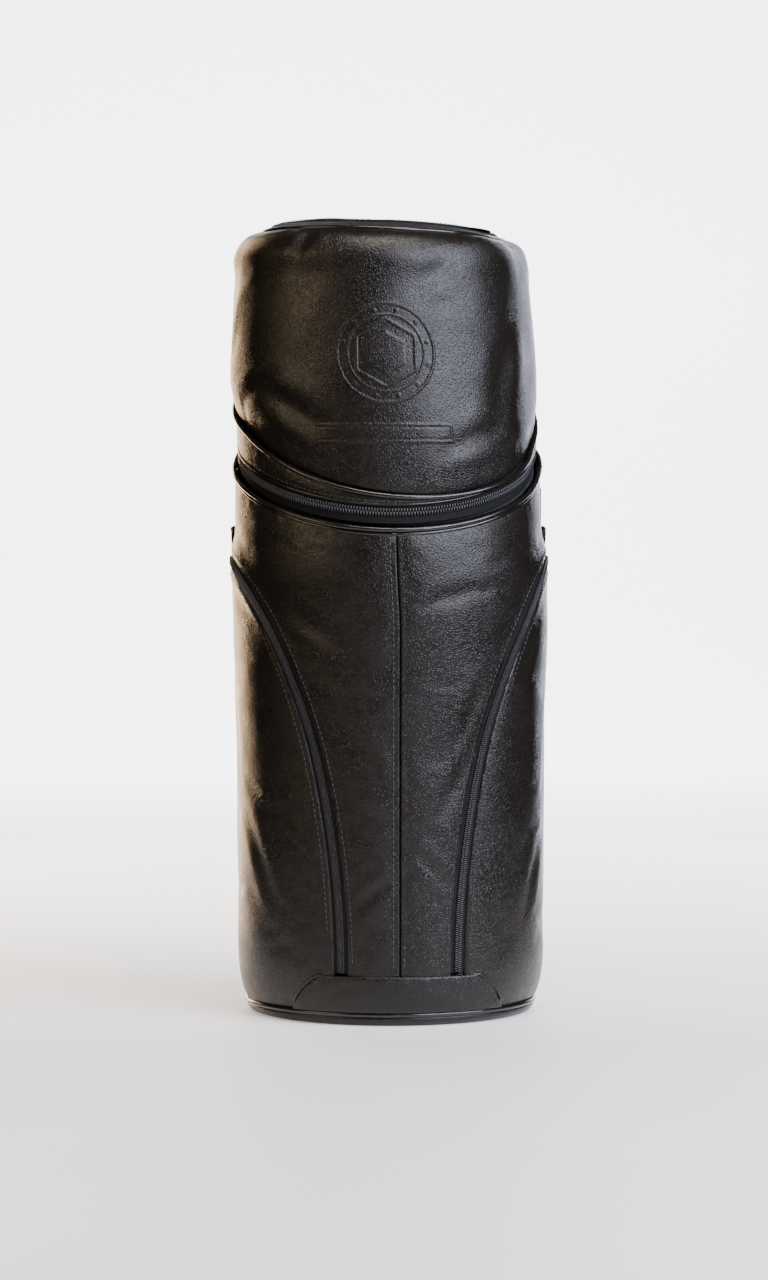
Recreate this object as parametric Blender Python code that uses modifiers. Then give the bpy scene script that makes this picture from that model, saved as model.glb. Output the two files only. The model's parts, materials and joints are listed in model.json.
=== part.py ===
"""Round padded carrying bag with a slanted zip-round lid, a top flap and two arched side pockets.

Run with: blender --background --python part.py
Units are metres and +Z is up. The origin is the centre of the flat base, and the front faces -Y.
An azimuth is an angle in degrees round the bag from the front, positive towards +X.
Every layer of the bag is a 36-sided prism with its corners at the same azimuths, so layers nest.
"""

import math

import bmesh
import bpy
from mathutils import Matrix, Vector

BAG_NAME = "round_padded_bag"

# Facets and clearances
SEGMENTS = 36
FINE_SEGMENTS = 72
FACET = 360.0 / SEGMENTS
GAP = 0.0004
SEAM = 0.00025
WELD = 0.000001

# Outer face of the body's leather: (height, radius)
BODY_PROFILE = (
    (0.0095, 0.1110),
    (0.015, 0.1125),
    (0.038, 0.1148),
    (0.206, 0.1148),
    (0.245, 0.1164),
    (0.305, 0.1183),
    (0.337, 0.1190),
    (0.369, 0.1173),
    (0.420, 0.1165),
    (0.470, 0.1165),
)
PATTERN_RADIUS = 0.1148  # radius at which the flat patterns are measured
LEATHER = 0.0018
HEM = 0.0097  # lower edge of the wall panels
RIM_ZONE = 0.3525  # above this height the edges of the wall panels lie in the rim's slanted plane

# Base
BASE_FLAT_RADIUS = 0.097
BASE_PIPING = (0.1085, 0.0075, 0.0016)  # radius of the ring, height, radius of the cord
BOARD_RADIUS, BOARD_BOTTOM, BOARD_TOP = 0.0965, 0.0020, 0.0050
PAD_RADIUS, PAD_BOTTOM, PAD_TOP = 0.0983, 0.0054, 0.0140

# Layers of the wall, as radii
LINING_INNER, LINING_OUTER = 0.0987, 0.0995
FOAM_INNER, FOAM_OUTER = 0.0999, 0.1048
PADDING_INNER = 0.1052
LINER_OUTER = 0.1060

# Slanted seams: height on the axis, and rise towards the back
RIM_HEIGHT, RIM_SLOPE = 0.4175, 0.42
ZIP_HEIGHT = 0.4285
LID_SEAM_HEIGHT, LID_SEAM_SLOPE = 0.454, 0.50
RIM_PIPING_RADIUS, LID_PIPING_RADIUS, PIPING_CORD = 0.1168, 0.1145, 0.0017
CORD_CLEARANCE = 0.0023  # from a seam's piping centre to the pieces beside it

# Lid zip, as radii and as distances from its centre line
TAPE_INNER, TAPE_OUTER, CHAIN_OUTER = 0.1108, 0.1118, 0.1128
CHAIN_SPLIT, CHAIN_EDGE, TAPE_EDGE = 0.0010, 0.0040, 0.0055
LID_ZIP_END = 140.0  # azimuth where the zip ends and the hinge strip begins

# Lid shell: (height, radius, slope of that row)
LID_PROFILE = (
    (LID_SEAM_HEIGHT + CORD_CLEARANCE, 0.1150, LID_SEAM_SLOPE),
    (0.487, 0.1145, 0.27),
    (0.522, 0.1120, 0.0),
    (0.563, 0.1083, 0.0),
    (0.583, 0.1050, 0.0),
    (0.5885, 0.1000, 0.0),
    (0.5905, 0.0925, 0.0),
)
LID_LEATHER = 0.0016
LID_FOAM = 0.0050
LID_LINING = 0.0009
LID_FOAM_FOOT = ZIP_HEIGHT + 0.0074
LID_FOAM_FOOT_RADIUS = 0.1115
LID_FOAM_EDGE_RADIUS = 0.0890

# Top flap and its zip
TOP_PIPING = (0.0905, 0.5916, 0.0014)
TOP_ZIP_FOOT = (0.0886, 0.5903)  # radius, height of the cone's outer face
TOP_ZIP_HEAD = (0.0800, 0.5974)
TOP_ZIP_END = 160.0  # azimuth where the zip ends and the hinge strip begins
TOP_ZIP_FREE = 140.0  # azimuth where the flap's half ends, short of the parked slider
TOP_ZIP_THICKNESS = 0.0016
FLAP_RADIUS, FLAP_EDGE_HEIGHT, FLAP_TOP = 0.0786, 0.5978, 0.6000
FLAP_LEATHER, FLAP_LINING = 0.0016, 0.0010

# Side pockets: an arch on the flat pattern, as azimuths and heights
POCKET_CENTRE, POCKET_HALF_ANGLE = 90.0, 67.5
ARCH_FOOT, ARCH_RISE = 0.038, 0.307
ARCH_STEPS = 16
POCKET_ZIP_HALF = 0.0064
CHAIN_HALF_GAP = 0.0010
CHAIN_SINK, CHAIN_THICKNESS = 0.0002, 0.0020
FLAP_LINING_THICKNESS = 0.0008

# Base patch: a quarter of an ellipse at each end
PATCH_TOP, PATCH_TOP_ANGLE, PATCH_FOOT_ANGLE = 0.0372, 31.0, 44.0
PATCH_THICKNESS = 0.0011

# Hinges of the flexible parts
LID_HINGE = Vector((0.0, 0.1135, 0.479))
TOP_FLAP_HINGE = Vector((0.0, 0.0840, 0.597))
POCKET_HINGE = Vector((0.1185, 0.0, 0.055))  # the right pocket; the left one is its mirror image

# Side rings and their tabs
RING_AZIMUTH = 105.0
RING_PIVOT_RADIUS, RING_PIVOT_HEIGHT = 0.1214, 0.368
RING_WIRE, RING_WIDTH, RING_DROP = 0.0016, 0.025, 0.017
RING_TAB_WIDTH, RING_TAB_TOP = 0.019, 0.400
LOOP_OUTER, LOOP_HOLE = 0.0029, 0.00195

# Back handle
HANDLE_HALF_SPAN = 0.038
HANDLE_PIVOT = Vector((0.0, 0.1205, 0.432))
HANDLE_EYE = Vector((0.0, 0.1245, 0.420))
HANDLE_ROD, HANDLE_DROP, HANDLE_BEND = 0.0055, 0.040, 0.022
HANDLE_RING_WIDTH, HANDLE_RING_WIRE = 0.0165, 0.0014
HANDLE_TAB_WIDTH, HANDLE_TAB_TOP = 0.0115, 0.455

# Zip sliders and pulls
SLIDER_LENGTH, SLIDER_WIDTH = 0.0094, 0.0084
SLIDER_CLEARANCE, SLIDER_PLATE = 0.0006, 0.0012
WEB_LENGTH, WEB_WIDTH = 0.0024, 0.0008
PIN_RADIUS, PIN_LIFT, LUG = 0.0006, 0.0020, 0.0010
EYE_OUTER, EYE_HOLE, EYE_WIDTH = 0.0017, 0.00095, 0.0024
PULL_LENGTH, PULL_WIDTH, PULL_THICKNESS, PULL_NECK = 0.023, 0.0056, 0.0013, 0.0034
PULL_HOLE = 0.0013
LID_SLIDER_AZIMUTH, LID_SLIDER_TRAVEL = 132.5, 15.0
TOP_SLIDER_AZIMUTH = 150.0
POCKET_SLIDER_HEIGHT, POCKET_SLIDER_TRAVEL = 0.0472, 0.040
LID_PULL_LEAN, TOP_PULL_LEAN = 18.0, 8.0

# Finishes: colour, roughness, metallic
FINISHES = {
    "leather": ((0.018, 0.017, 0.018, 1.0), 0.45, 0.0),
    "piping": ((0.022, 0.021, 0.022, 1.0), 0.35, 0.0),
    "lining": ((0.030, 0.030, 0.032, 1.0), 0.90, 0.0),
    "foam": ((0.120, 0.120, 0.125, 1.0), 0.95, 0.0),
    "board": ((0.020, 0.020, 0.020, 1.0), 0.60, 0.0),
    "zip": ((0.025, 0.026, 0.028, 1.0), 0.50, 0.0),
    "metal": ((0.120, 0.120, 0.125, 1.0), 0.30, 0.9),
}


# ---------------------------------------------------------------- scene and objects


def clear_scene():
    """Remove the objects of the open file, and start one collection for the bag."""
    for obj in list(bpy.data.objects):
        bpy.data.objects.remove(obj, do_unlink=True)
    collection = bpy.data.collections.new(BAG_NAME)
    bpy.context.scene.collection.children.link(collection)
    return collection


def added(collection, name, data):
    """Link a new object that holds this mesh, curve or nothing."""
    obj = bpy.data.objects.new(name, data)
    collection.objects.link(obj)
    return obj


def dressed(obj, finish):
    """Give the object its own material, and shade it smooth up to 35 degrees."""
    colour, roughness, metallic = FINISHES[finish]
    material = bpy.data.materials.new(f"{obj.name}_{finish}")
    material.use_nodes = True
    shader = material.node_tree.nodes["Principled BSDF"]
    shader.inputs["Base Color"].default_value = colour
    shader.inputs["Roughness"].default_value = roughness
    shader.inputs["Metallic"].default_value = metallic
    obj.data.materials.append(material)
    obj.data.shade_smooth()
    obj.data.set_sharp_from_angle(angle=math.radians(35.0))
    return obj


def baked(collection, obj):
    """Replace a modified mesh or a curve by its plain, welded, closed mesh."""
    bpy.context.view_layer.update()
    evaluated = obj.evaluated_get(bpy.context.evaluated_depsgraph_get())
    mesh = bpy.data.meshes.new_from_object(evaluated)
    bm = bmesh.new()
    bm.from_mesh(mesh)
    bmesh.ops.remove_doubles(bm, verts=bm.verts, dist=WELD)
    bmesh.ops.dissolve_degenerate(bm, edges=bm.edges, dist=WELD)
    open_edges = [edge for edge in bm.edges if edge.is_boundary]
    if open_edges:
        bmesh.ops.holes_fill(bm, edges=open_edges)
    bmesh.ops.recalc_face_normals(bm, faces=bm.faces)
    bm.to_mesh(mesh)
    bm.free()
    name, place = obj.name, obj.matrix_world.copy()
    bpy.data.objects.remove(obj, do_unlink=True)
    result = added(collection, name, mesh)
    result.matrix_world = place
    return result


def combined(collection, body, others, operation):
    """Union the other shapes into the body, or cut them from it, and remove them."""
    for other in others:
        modifier = body.modifiers.new(other.name, "BOOLEAN")
        modifier.operation = operation
        modifier.solver = "EXACT"
        modifier.object = other
    result = baked(collection, body)
    for other in others:
        bpy.data.objects.remove(other, do_unlink=True)
    return result


def pivot(collection, name, location, pieces):
    """Put an empty on a joint's axis and hang the moving pieces on it."""
    empty = added(collection, name, None)
    empty.empty_display_size = 0.02
    empty.location = location
    bpy.context.view_layer.update()
    for piece in pieces:
        piece.parent = empty
        piece.matrix_parent_inverse = empty.matrix_world.inverted()


# ---------------------------------------------------------------- shapes


def direction(azimuth):
    """Horizontal unit vector at an azimuth in degrees."""
    angle = math.radians(azimuth)
    return Vector((math.sin(angle), -math.cos(angle), 0.0))


def on_facet(azimuth, radius, height):
    """Point on the facets of a prism whose corners have this radius."""
    middle = (math.floor(azimuth / FACET) + 0.5) * FACET
    flat = radius * math.cos(math.radians(FACET / 2)) / math.cos(math.radians(azimuth - middle))
    return direction(azimuth) * flat + Vector((0.0, 0.0, height))


def body_radius(height):
    """Radius of the body's outer leather at a height."""
    for (low, low_radius), (high, high_radius) in zip(BODY_PROFILE, BODY_PROFILE[1:]):
        if height <= high:
            share = max(0.0, (height - low) / (high - low))
            return low_radius + share * (high_radius - low_radius)
    return BODY_PROFILE[-1][1]


def under_leather(depth):
    """Radius as a function of height, at a depth below the outer leather."""
    return lambda height: body_radius(height) - depth


def constant(radius):
    """Radius as a function of height that is the same all the way up."""
    return lambda height: radius


def turned(collection, name, finish, profile, slope=None, start=0.0, sweep=360.0, segments=SEGMENTS):
    """Turn a closed (radius, height) profile round the axis, then slant rows by their slope.

    slope maps a profile height to its rise per metre towards the back.
    """
    mesh = bpy.data.meshes.new(name)
    points = [direction(start) * radius + Vector((0, 0, height)) for radius, height in profile]
    edges = [(i, (i + 1) % len(points)) for i in range(len(points))]
    mesh.from_pydata(points, edges, [])
    obj = added(collection, name, mesh)
    screw = obj.modifiers.new("turn", "SCREW")
    screw.axis = "Z"
    screw.angle = math.radians(sweep)
    screw.steps = screw.render_steps = round(segments * sweep / 360.0)
    screw.use_merge_vertices = sweep == 360.0
    screw.merge_threshold = WELD
    obj = baked(collection, obj)
    if slope:
        for vertex in obj.data.vertices:
            vertex.co.z += slope(vertex.co.z) * vertex.co.y
    return dressed(obj, finish)


def cord_section(radius, height, cord, sides=6):
    """Profile of a round cord for turned()."""
    turns = [2 * math.pi * (side + 0.5) / sides for side in range(sides)]
    return [(radius + cord * math.cos(turn), height + cord * math.sin(turn)) for turn in turns]


def wrapped(collection, name, finish, outline, inner, outer):
    """Wrap a flat panel round the bag, between the radii inner(height) and outer(height).

    outline lists the corners (distance round the bag at the pattern radius, height).
    """
    bm = bmesh.new()
    bm.faces.new([bm.verts.new((width, height, 0.0)) for width, height in outline])
    widths = [width for width, _ in outline]
    step = math.radians(FACET) * PATTERN_RADIUS
    first, last = math.floor(min(widths) / step), math.ceil(max(widths) / step)
    cuts = [(Vector((line * step, 0, 0)), Vector((1, 0, 0))) for line in range(first, last + 1)]
    cuts += [(Vector((0, height, 0)), Vector((0, 1, 0))) for height, _ in BODY_PROFILE]
    for point, normal in cuts:
        geometry = bm.verts[:] + bm.edges[:] + bm.faces[:]
        bmesh.ops.bisect_plane(bm, geom=geometry, dist=WELD, plane_co=point, plane_no=normal)
    raised = bmesh.ops.extrude_face_region(bm, geom=bm.faces[:])["geom"]
    for vertex in raised:
        if isinstance(vertex, bmesh.types.BMVert):
            vertex.co.z = 1.0
    for vertex in bm.verts:
        width, height, layer = vertex.co
        radius = outer(height) if layer > 0.5 else inner(height)
        azimuth = math.degrees(width / PATTERN_RADIUS)
        vertex.co = on_facet(azimuth, radius, height)
        if height > RIM_ZONE:
            vertex.co.z += RIM_SLOPE * (vertex.co.y - on_facet(azimuth, PATTERN_RADIUS, height).y)
    bmesh.ops.remove_doubles(bm, verts=bm.verts, dist=WELD)
    bmesh.ops.recalc_face_normals(bm, faces=bm.faces)
    mesh = bpy.data.meshes.new(name)
    bm.to_mesh(mesh)
    bm.free()
    return dressed(added(collection, name, mesh), finish)


def box(collection, name, low, high):
    """Box between two corners."""
    bm = bmesh.new()
    low, high = Vector(low), Vector(high)
    place = Matrix.Translation((low + high) / 2) @ Matrix.Diagonal((*(high - low), 1.0))
    bmesh.ops.create_cube(bm, size=1.0, matrix=place)
    mesh = bpy.data.meshes.new(name)
    bm.to_mesh(mesh)
    bm.free()
    return added(collection, name, mesh)


def cylinder(collection, name, centre, axis, radius, length, sides=12):
    """Cylinder about its centre, along an axis."""
    bm = bmesh.new()
    turn = Vector((0, 0, 1)).rotation_difference(Vector(axis)).to_matrix().to_4x4()
    bmesh.ops.create_cone(
        bm,
        cap_ends=True,
        segments=sides,
        radius1=radius,
        radius2=radius,
        depth=length,
        matrix=Matrix.Translation(centre) @ turn,
    )
    mesh = bpy.data.meshes.new(name)
    bm.to_mesh(mesh)
    bm.free()
    return added(collection, name, mesh)


def tube(collection, name, points, radius, cyclic=False):
    """Round rod or wire along a path."""
    curve = bpy.data.curves.new(name, "CURVE")
    curve.dimensions = "3D"
    curve.bevel_depth = radius
    curve.bevel_resolution = 2
    curve.use_fill_caps = True
    spline = curve.splines.new("POLY")
    spline.points.add(len(points) - 1)
    for point, place in zip(spline.points, points):
        point.co = (*place, 1.0)
    spline.use_cyclic_u = cyclic
    return baked(collection, added(collection, name, curve))


def frame_at(origin, along, out):
    """Placement whose X runs along a zip and whose Z points away from the bag."""
    x = Vector(along).normalized()
    z = (Vector(out) - x * Vector(out).dot(x)).normalized()
    turn = Matrix((x, z.cross(x), z)).transposed()
    return Matrix.Translation(origin) @ turn.to_4x4()


# ---------------------------------------------------------------- flat patterns


def across(azimuth):
    """Distance round the bag of an azimuth, on the flat pattern."""
    return math.radians(azimuth) * PATTERN_RADIUS


def arch(offset, start=0.0, end=math.pi, steps=ARCH_STEPS):
    """Corners along the right pocket's zip line from front to back, moved outwards by offset."""
    half = across(POCKET_HALF_ANGLE)
    corners = []
    for step in range(steps + 1):
        turn = start + (end - start) * step / steps
        cos, sin = math.cos(turn), math.sin(turn)
        normal = Vector((-ARCH_RISE * cos, half * sin)).normalized() * offset
        corners.append((across(POCKET_CENTRE) - half * cos + normal.x, ARCH_FOOT + ARCH_RISE * sin + normal.y))
    return corners


def arch_turn(height):
    """Parameter of the arch at a height on its front side."""
    return math.asin((height - ARCH_FOOT) / ARCH_RISE)


def rim_edge(first, last, drop):
    """Corners along the slanted rim between two azimuths, a little below the seam."""
    count = round(abs(last - first) / FACET)
    corners = []
    for step in range(1, count):
        azimuth = first + (last - first) * step / count
        corners.append((across(azimuth), rim_height(azimuth) - drop))
    return corners


def rim_height(azimuth):
    """Height of the rim seam at an azimuth, on the wall."""
    return RIM_HEIGHT - RIM_SLOPE * PATTERN_RADIUS * math.cos(math.radians(azimuth))


def mirrored(outline, about=0.0):
    """The same outline on the other side of a vertical line, in the opposite order."""
    return [(2 * about - width, height) for width, height in reversed(outline)]


def front_edge(offset, seam_offset, floor, hem, drop):
    """Right-hand edge of a front piece: up the pocket's arch and on to the rim at the side."""
    side = across(POCKET_CENTRE) - SEAM
    corners = [(min(width, side), height) for width, height in arch(offset, 0.0, math.pi / 2)]
    foot = across(POCKET_CENTRE - POCKET_HALF_ANGLE) + seam_offset
    return [(foot, hem), (foot, floor), *corners, (side, rim_height(POCKET_CENTRE) - drop)]


def back_edge(offset, seam_offset, floor, hem, drop):
    """Right-hand edge of the back piece, seen from the front: down from the rim to the hem."""
    side = across(POCKET_CENTRE) + SEAM
    corners = [(max(width, side), height) for width, height in arch(offset, math.pi / 2, math.pi)]
    foot = across(POCKET_CENTRE + POCKET_HALF_ANGLE) - seam_offset
    return [(side, rim_height(POCKET_CENTRE) - drop), *corners, (foot, floor), (foot, hem)]


# ---------------------------------------------------------------- the body


def build_base(collection):
    """Leather pan, stiff board, pad, piping and the patch on the front."""
    pan = [
        (0.0, 0.0),
        (BASE_FLAT_RADIUS, 0.0),
        (0.1035, 0.0018),
        (0.1065, 0.0055),
        (0.1050, 0.0058),
        (0.1025, 0.0033),
        (0.0968, 0.0016),
        (0.0, 0.0016),
    ]
    turned(collection, "base_panel", "leather", pan)
    plates = (
        ("base_board", "board", BOARD_RADIUS, BOARD_BOTTOM, BOARD_TOP),
        ("base_pad", "foam", PAD_RADIUS, PAD_BOTTOM, PAD_TOP),
    )
    for name, finish, radius, bottom, top in plates:
        turned(collection, name, finish, [(0, bottom), (radius, bottom), (radius, top), (0, top)])
    turned(collection, "base_piping", "piping", cord_section(*BASE_PIPING))

    reach = PATCH_FOOT_ANGLE - PATCH_TOP_ANGLE
    quarter = []
    for step in range(7):
        turn = math.radians(15.0 * step)
        azimuth = PATCH_TOP_ANGLE + reach * math.cos(turn)
        quarter.append((across(azimuth), HEM + (PATCH_TOP - HEM) * math.sin(turn)))
    outline = quarter + mirrored(quarter)
    outer = under_leather(-GAP - PATCH_THICKNESS)
    wrapped(collection, "base_patch", "leather", outline, under_leather(-GAP), outer)


def rim_slope(height):
    """Slope of the rows near the rim; the rows at the base stay level."""
    return RIM_SLOPE if height > 0.2 else 0.0


def build_wall(collection):
    """Lining, foam, padding and leather of the body's wall."""
    foot = PAD_BOTTOM + GAP
    flange = FOAM_OUTER + 0.0050
    lining = [
        (LINING_INNER, foot),
        (LINING_OUTER, foot),
        (LINING_OUTER, RIM_HEIGHT - 0.0006),
        (flange, RIM_HEIGHT - 0.0006),
        (flange, RIM_HEIGHT + 0.0004),
        (LINING_INNER, RIM_HEIGHT + 0.0004),
    ]
    turned(collection, "body_lining", "lining", lining, rim_slope)
    foam = [
        (FOAM_INNER, foot + GAP),
        (FOAM_OUTER, foot + GAP),
        (FOAM_OUTER, RIM_HEIGHT - 0.0010),
        (FOAM_INNER, RIM_HEIGHT - 0.0010),
    ]
    turned(collection, "wall_foam", "foam", foam, rim_slope)

    pad_edge, pad_drop, floor = POCKET_ZIP_HALF - GAP, 0.0040, ARCH_FOOT - 0.0006
    side = across(POCKET_HALF_ANGLE) - SEAM
    inner, outer = constant(PADDING_INNER), under_leather(LEATHER + GAP)
    front = front_edge(pad_edge, side, floor, HEM + GAP, pad_drop)
    outline = front + rim_edge(90.0, -90.0, pad_drop) + mirrored(front)
    wrapped(collection, "front_padding", "foam", outline, inner, outer)
    back = back_edge(pad_edge, side, floor, HEM + GAP, pad_drop)
    outline = back + mirrored(back, across(180.0)) + rim_edge(270.0, 90.0, pad_drop)
    wrapped(collection, "back_padding", "foam", outline, inner, outer)

    edge, drop, floor = POCKET_ZIP_HALF + GAP, 0.0026, ARCH_FOOT - GAP
    inner, outer = under_leather(LEATHER), under_leather(0.0)
    front = front_edge(edge, -SEAM, floor, HEM, drop)
    half = [(SEAM, HEM), *front, *rim_edge(90.0, 0.0, drop), (SEAM, rim_height(0.0) - drop)]
    wrapped(collection, "front_panel_right", "leather", half, inner, outer)
    wrapped(collection, "front_panel_left", "leather", mirrored(half), inner, outer)
    back = back_edge(edge, -SEAM, floor, HEM, drop)
    outline = back + mirrored(back, across(180.0)) + rim_edge(270.0, 90.0, drop)
    wrapped(collection, "back_panel", "leather", outline, inner, outer)

    section = cord_section(RIM_PIPING_RADIUS, RIM_HEIGHT, PIPING_CORD)
    turned(collection, "rim_piping", "piping", section, lambda height: RIM_SLOPE)


def build_lid_zip(collection):
    """Both halves of the zip round the lid, and the leather hinge between its ends."""
    lower = [
        (TAPE_INNER, RIM_HEIGHT + CORD_CLEARANCE),
        (TAPE_OUTER, RIM_HEIGHT + CORD_CLEARANCE),
        (TAPE_OUTER, ZIP_HEIGHT - CHAIN_EDGE),
        (CHAIN_OUTER, ZIP_HEIGHT - CHAIN_EDGE),
        (CHAIN_OUTER, ZIP_HEIGHT - CHAIN_SPLIT),
        (TAPE_INNER, ZIP_HEIGHT - CHAIN_SPLIT),
    ]
    upper = [
        (TAPE_INNER, ZIP_HEIGHT + CHAIN_SPLIT),
        (CHAIN_OUTER, ZIP_HEIGHT + CHAIN_SPLIT),
        (CHAIN_OUTER, ZIP_HEIGHT + CHAIN_EDGE),
        (TAPE_OUTER, ZIP_HEIGHT + CHAIN_EDGE),
        (TAPE_OUTER, ZIP_HEIGHT + TAPE_EDGE),
        (TAPE_INNER, ZIP_HEIGHT + TAPE_EDGE),
    ]
    ring = {"slope": lambda height: RIM_SLOPE, "start": -LID_ZIP_END, "sweep": 2 * LID_ZIP_END}
    turned(collection, "lid_zip_lower", "zip", lower, segments=FINE_SEGMENTS, **ring)
    turned(collection, "lid_zip_upper", "zip", upper, segments=FINE_SEGMENTS, **ring)
    strip = [
        (TAPE_INNER, RIM_HEIGHT + CORD_CLEARANCE),
        (TAPE_OUTER, RIM_HEIGHT + CORD_CLEARANCE),
        (TAPE_OUTER, ZIP_HEIGHT + TAPE_EDGE),
        (TAPE_INNER, ZIP_HEIGHT + TAPE_EDGE),
    ]
    ring["start"], ring["sweep"] = LID_ZIP_END + 0.5, 2 * (180.0 - LID_ZIP_END) - 1.0
    turned(collection, "hinge_strip", "leather", strip, **ring)


def build_pocket(collection, name, side):
    """One side pocket: liner, fixed foot, zip halves, and the flap with its lining."""

    def outlined(corners):
        return corners if side > 0 else mirrored(corners)

    def panel(part, finish, corners, inner, outer):
        return wrapped(collection, f"{part}_{name}", finish, outlined(corners), inner, outer)

    low = ARCH_FOOT + GAP
    liner = [(width, max(height, low)) for width, height in arch(POCKET_ZIP_HALF - 2 * GAP)]
    panel("pocket_liner", "lining", liner, constant(PADDING_INNER), constant(LINER_OUTER))

    first = arch_turn(POCKET_HINGE.z - GAP)
    foot_front = across(POCKET_CENTRE - POCKET_HALF_ANGLE) + SEAM
    foot_back = across(POCKET_CENTRE + POCKET_HALF_ANGLE) - SEAM
    foot = [(foot_front, HEM), (foot_back, HEM), (foot_back, ARCH_FOOT - GAP)]
    foot += arch(-CHAIN_HALF_GAP, math.pi, math.pi - first, 1)
    foot += arch(-CHAIN_HALF_GAP, first, 0.0, 1)
    foot += [(foot_front, ARCH_FOOT - GAP)]
    panel("pocket_foot", "leather", foot, under_leather(LEATHER), under_leather(0.0))

    chain_inner = under_leather(CHAIN_SINK + CHAIN_THICKNESS)
    chain_outer = under_leather(CHAIN_SINK)
    start = arch_turn(ARCH_FOOT + 0.0006)
    outer_half = arch(CHAIN_HALF_GAP, start, math.pi - start)
    outer_half += reversed(arch(POCKET_ZIP_HALF, start, math.pi - start))
    panel("pocket_zip_outer", "zip", outer_half, chain_inner, chain_outer)

    start = arch_turn(POCKET_HINGE.z + 0.0008)
    end = math.pi - start
    inner_half = arch(-CHAIN_HALF_GAP, start, end)
    inner_half += reversed(arch(-POCKET_ZIP_HALF, start, end))
    zip_inner = panel("pocket_zip_inner", "zip", inner_half, chain_inner, chain_outer)
    leather = arch(-POCKET_ZIP_HALF - GAP, start, end)
    flap = panel("pocket_flap", "leather", leather, under_leather(LEATHER), under_leather(0.0))
    depth = LEATHER + GAP
    lining = panel(
        "pocket_flap_lining",
        "lining",
        arch(-POCKET_ZIP_HALF - 2 * GAP, start + 0.002, end - 0.002),
        under_leather(depth + FLAP_LINING_THICKNESS),
        under_leather(depth),
    )
    hinge = Vector((side * POCKET_HINGE.x, POCKET_HINGE.y, POCKET_HINGE.z))
    pivot(collection, f"pocket_flap_pivot_{name}", hinge, (zip_inner, flap, lining))


# ---------------------------------------------------------------- the lid and its top flap


def inset(profile, depth):
    """Rows of the lid's shell moved inwards along its section's normal."""
    rows = []
    for index, (height, radius, slope) in enumerate(profile):
        below = profile[max(index - 1, 0)]
        above = profile[min(index + 1, len(profile) - 1)]
        tangent = Vector((above[1] - below[1], above[0] - below[0])).normalized()
        rows.append((height - depth * max(0.0, -tangent.x), radius - depth * tangent.y, slope))
    return rows


def lid_shell(collection, name, finish, outer, inner):
    """Turned shell between two lists of (height, radius, slope) rows."""
    rows = outer + inner[::-1]
    slopes = {round(height, 6): slope for height, radius, slope in rows}

    def slope(height):
        nearest = min(slopes, key=lambda row: abs(row - height))
        return slopes[nearest]

    profile = [(radius, height) for height, radius, _ in rows]
    return turned(collection, name, finish, profile, slope)


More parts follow.
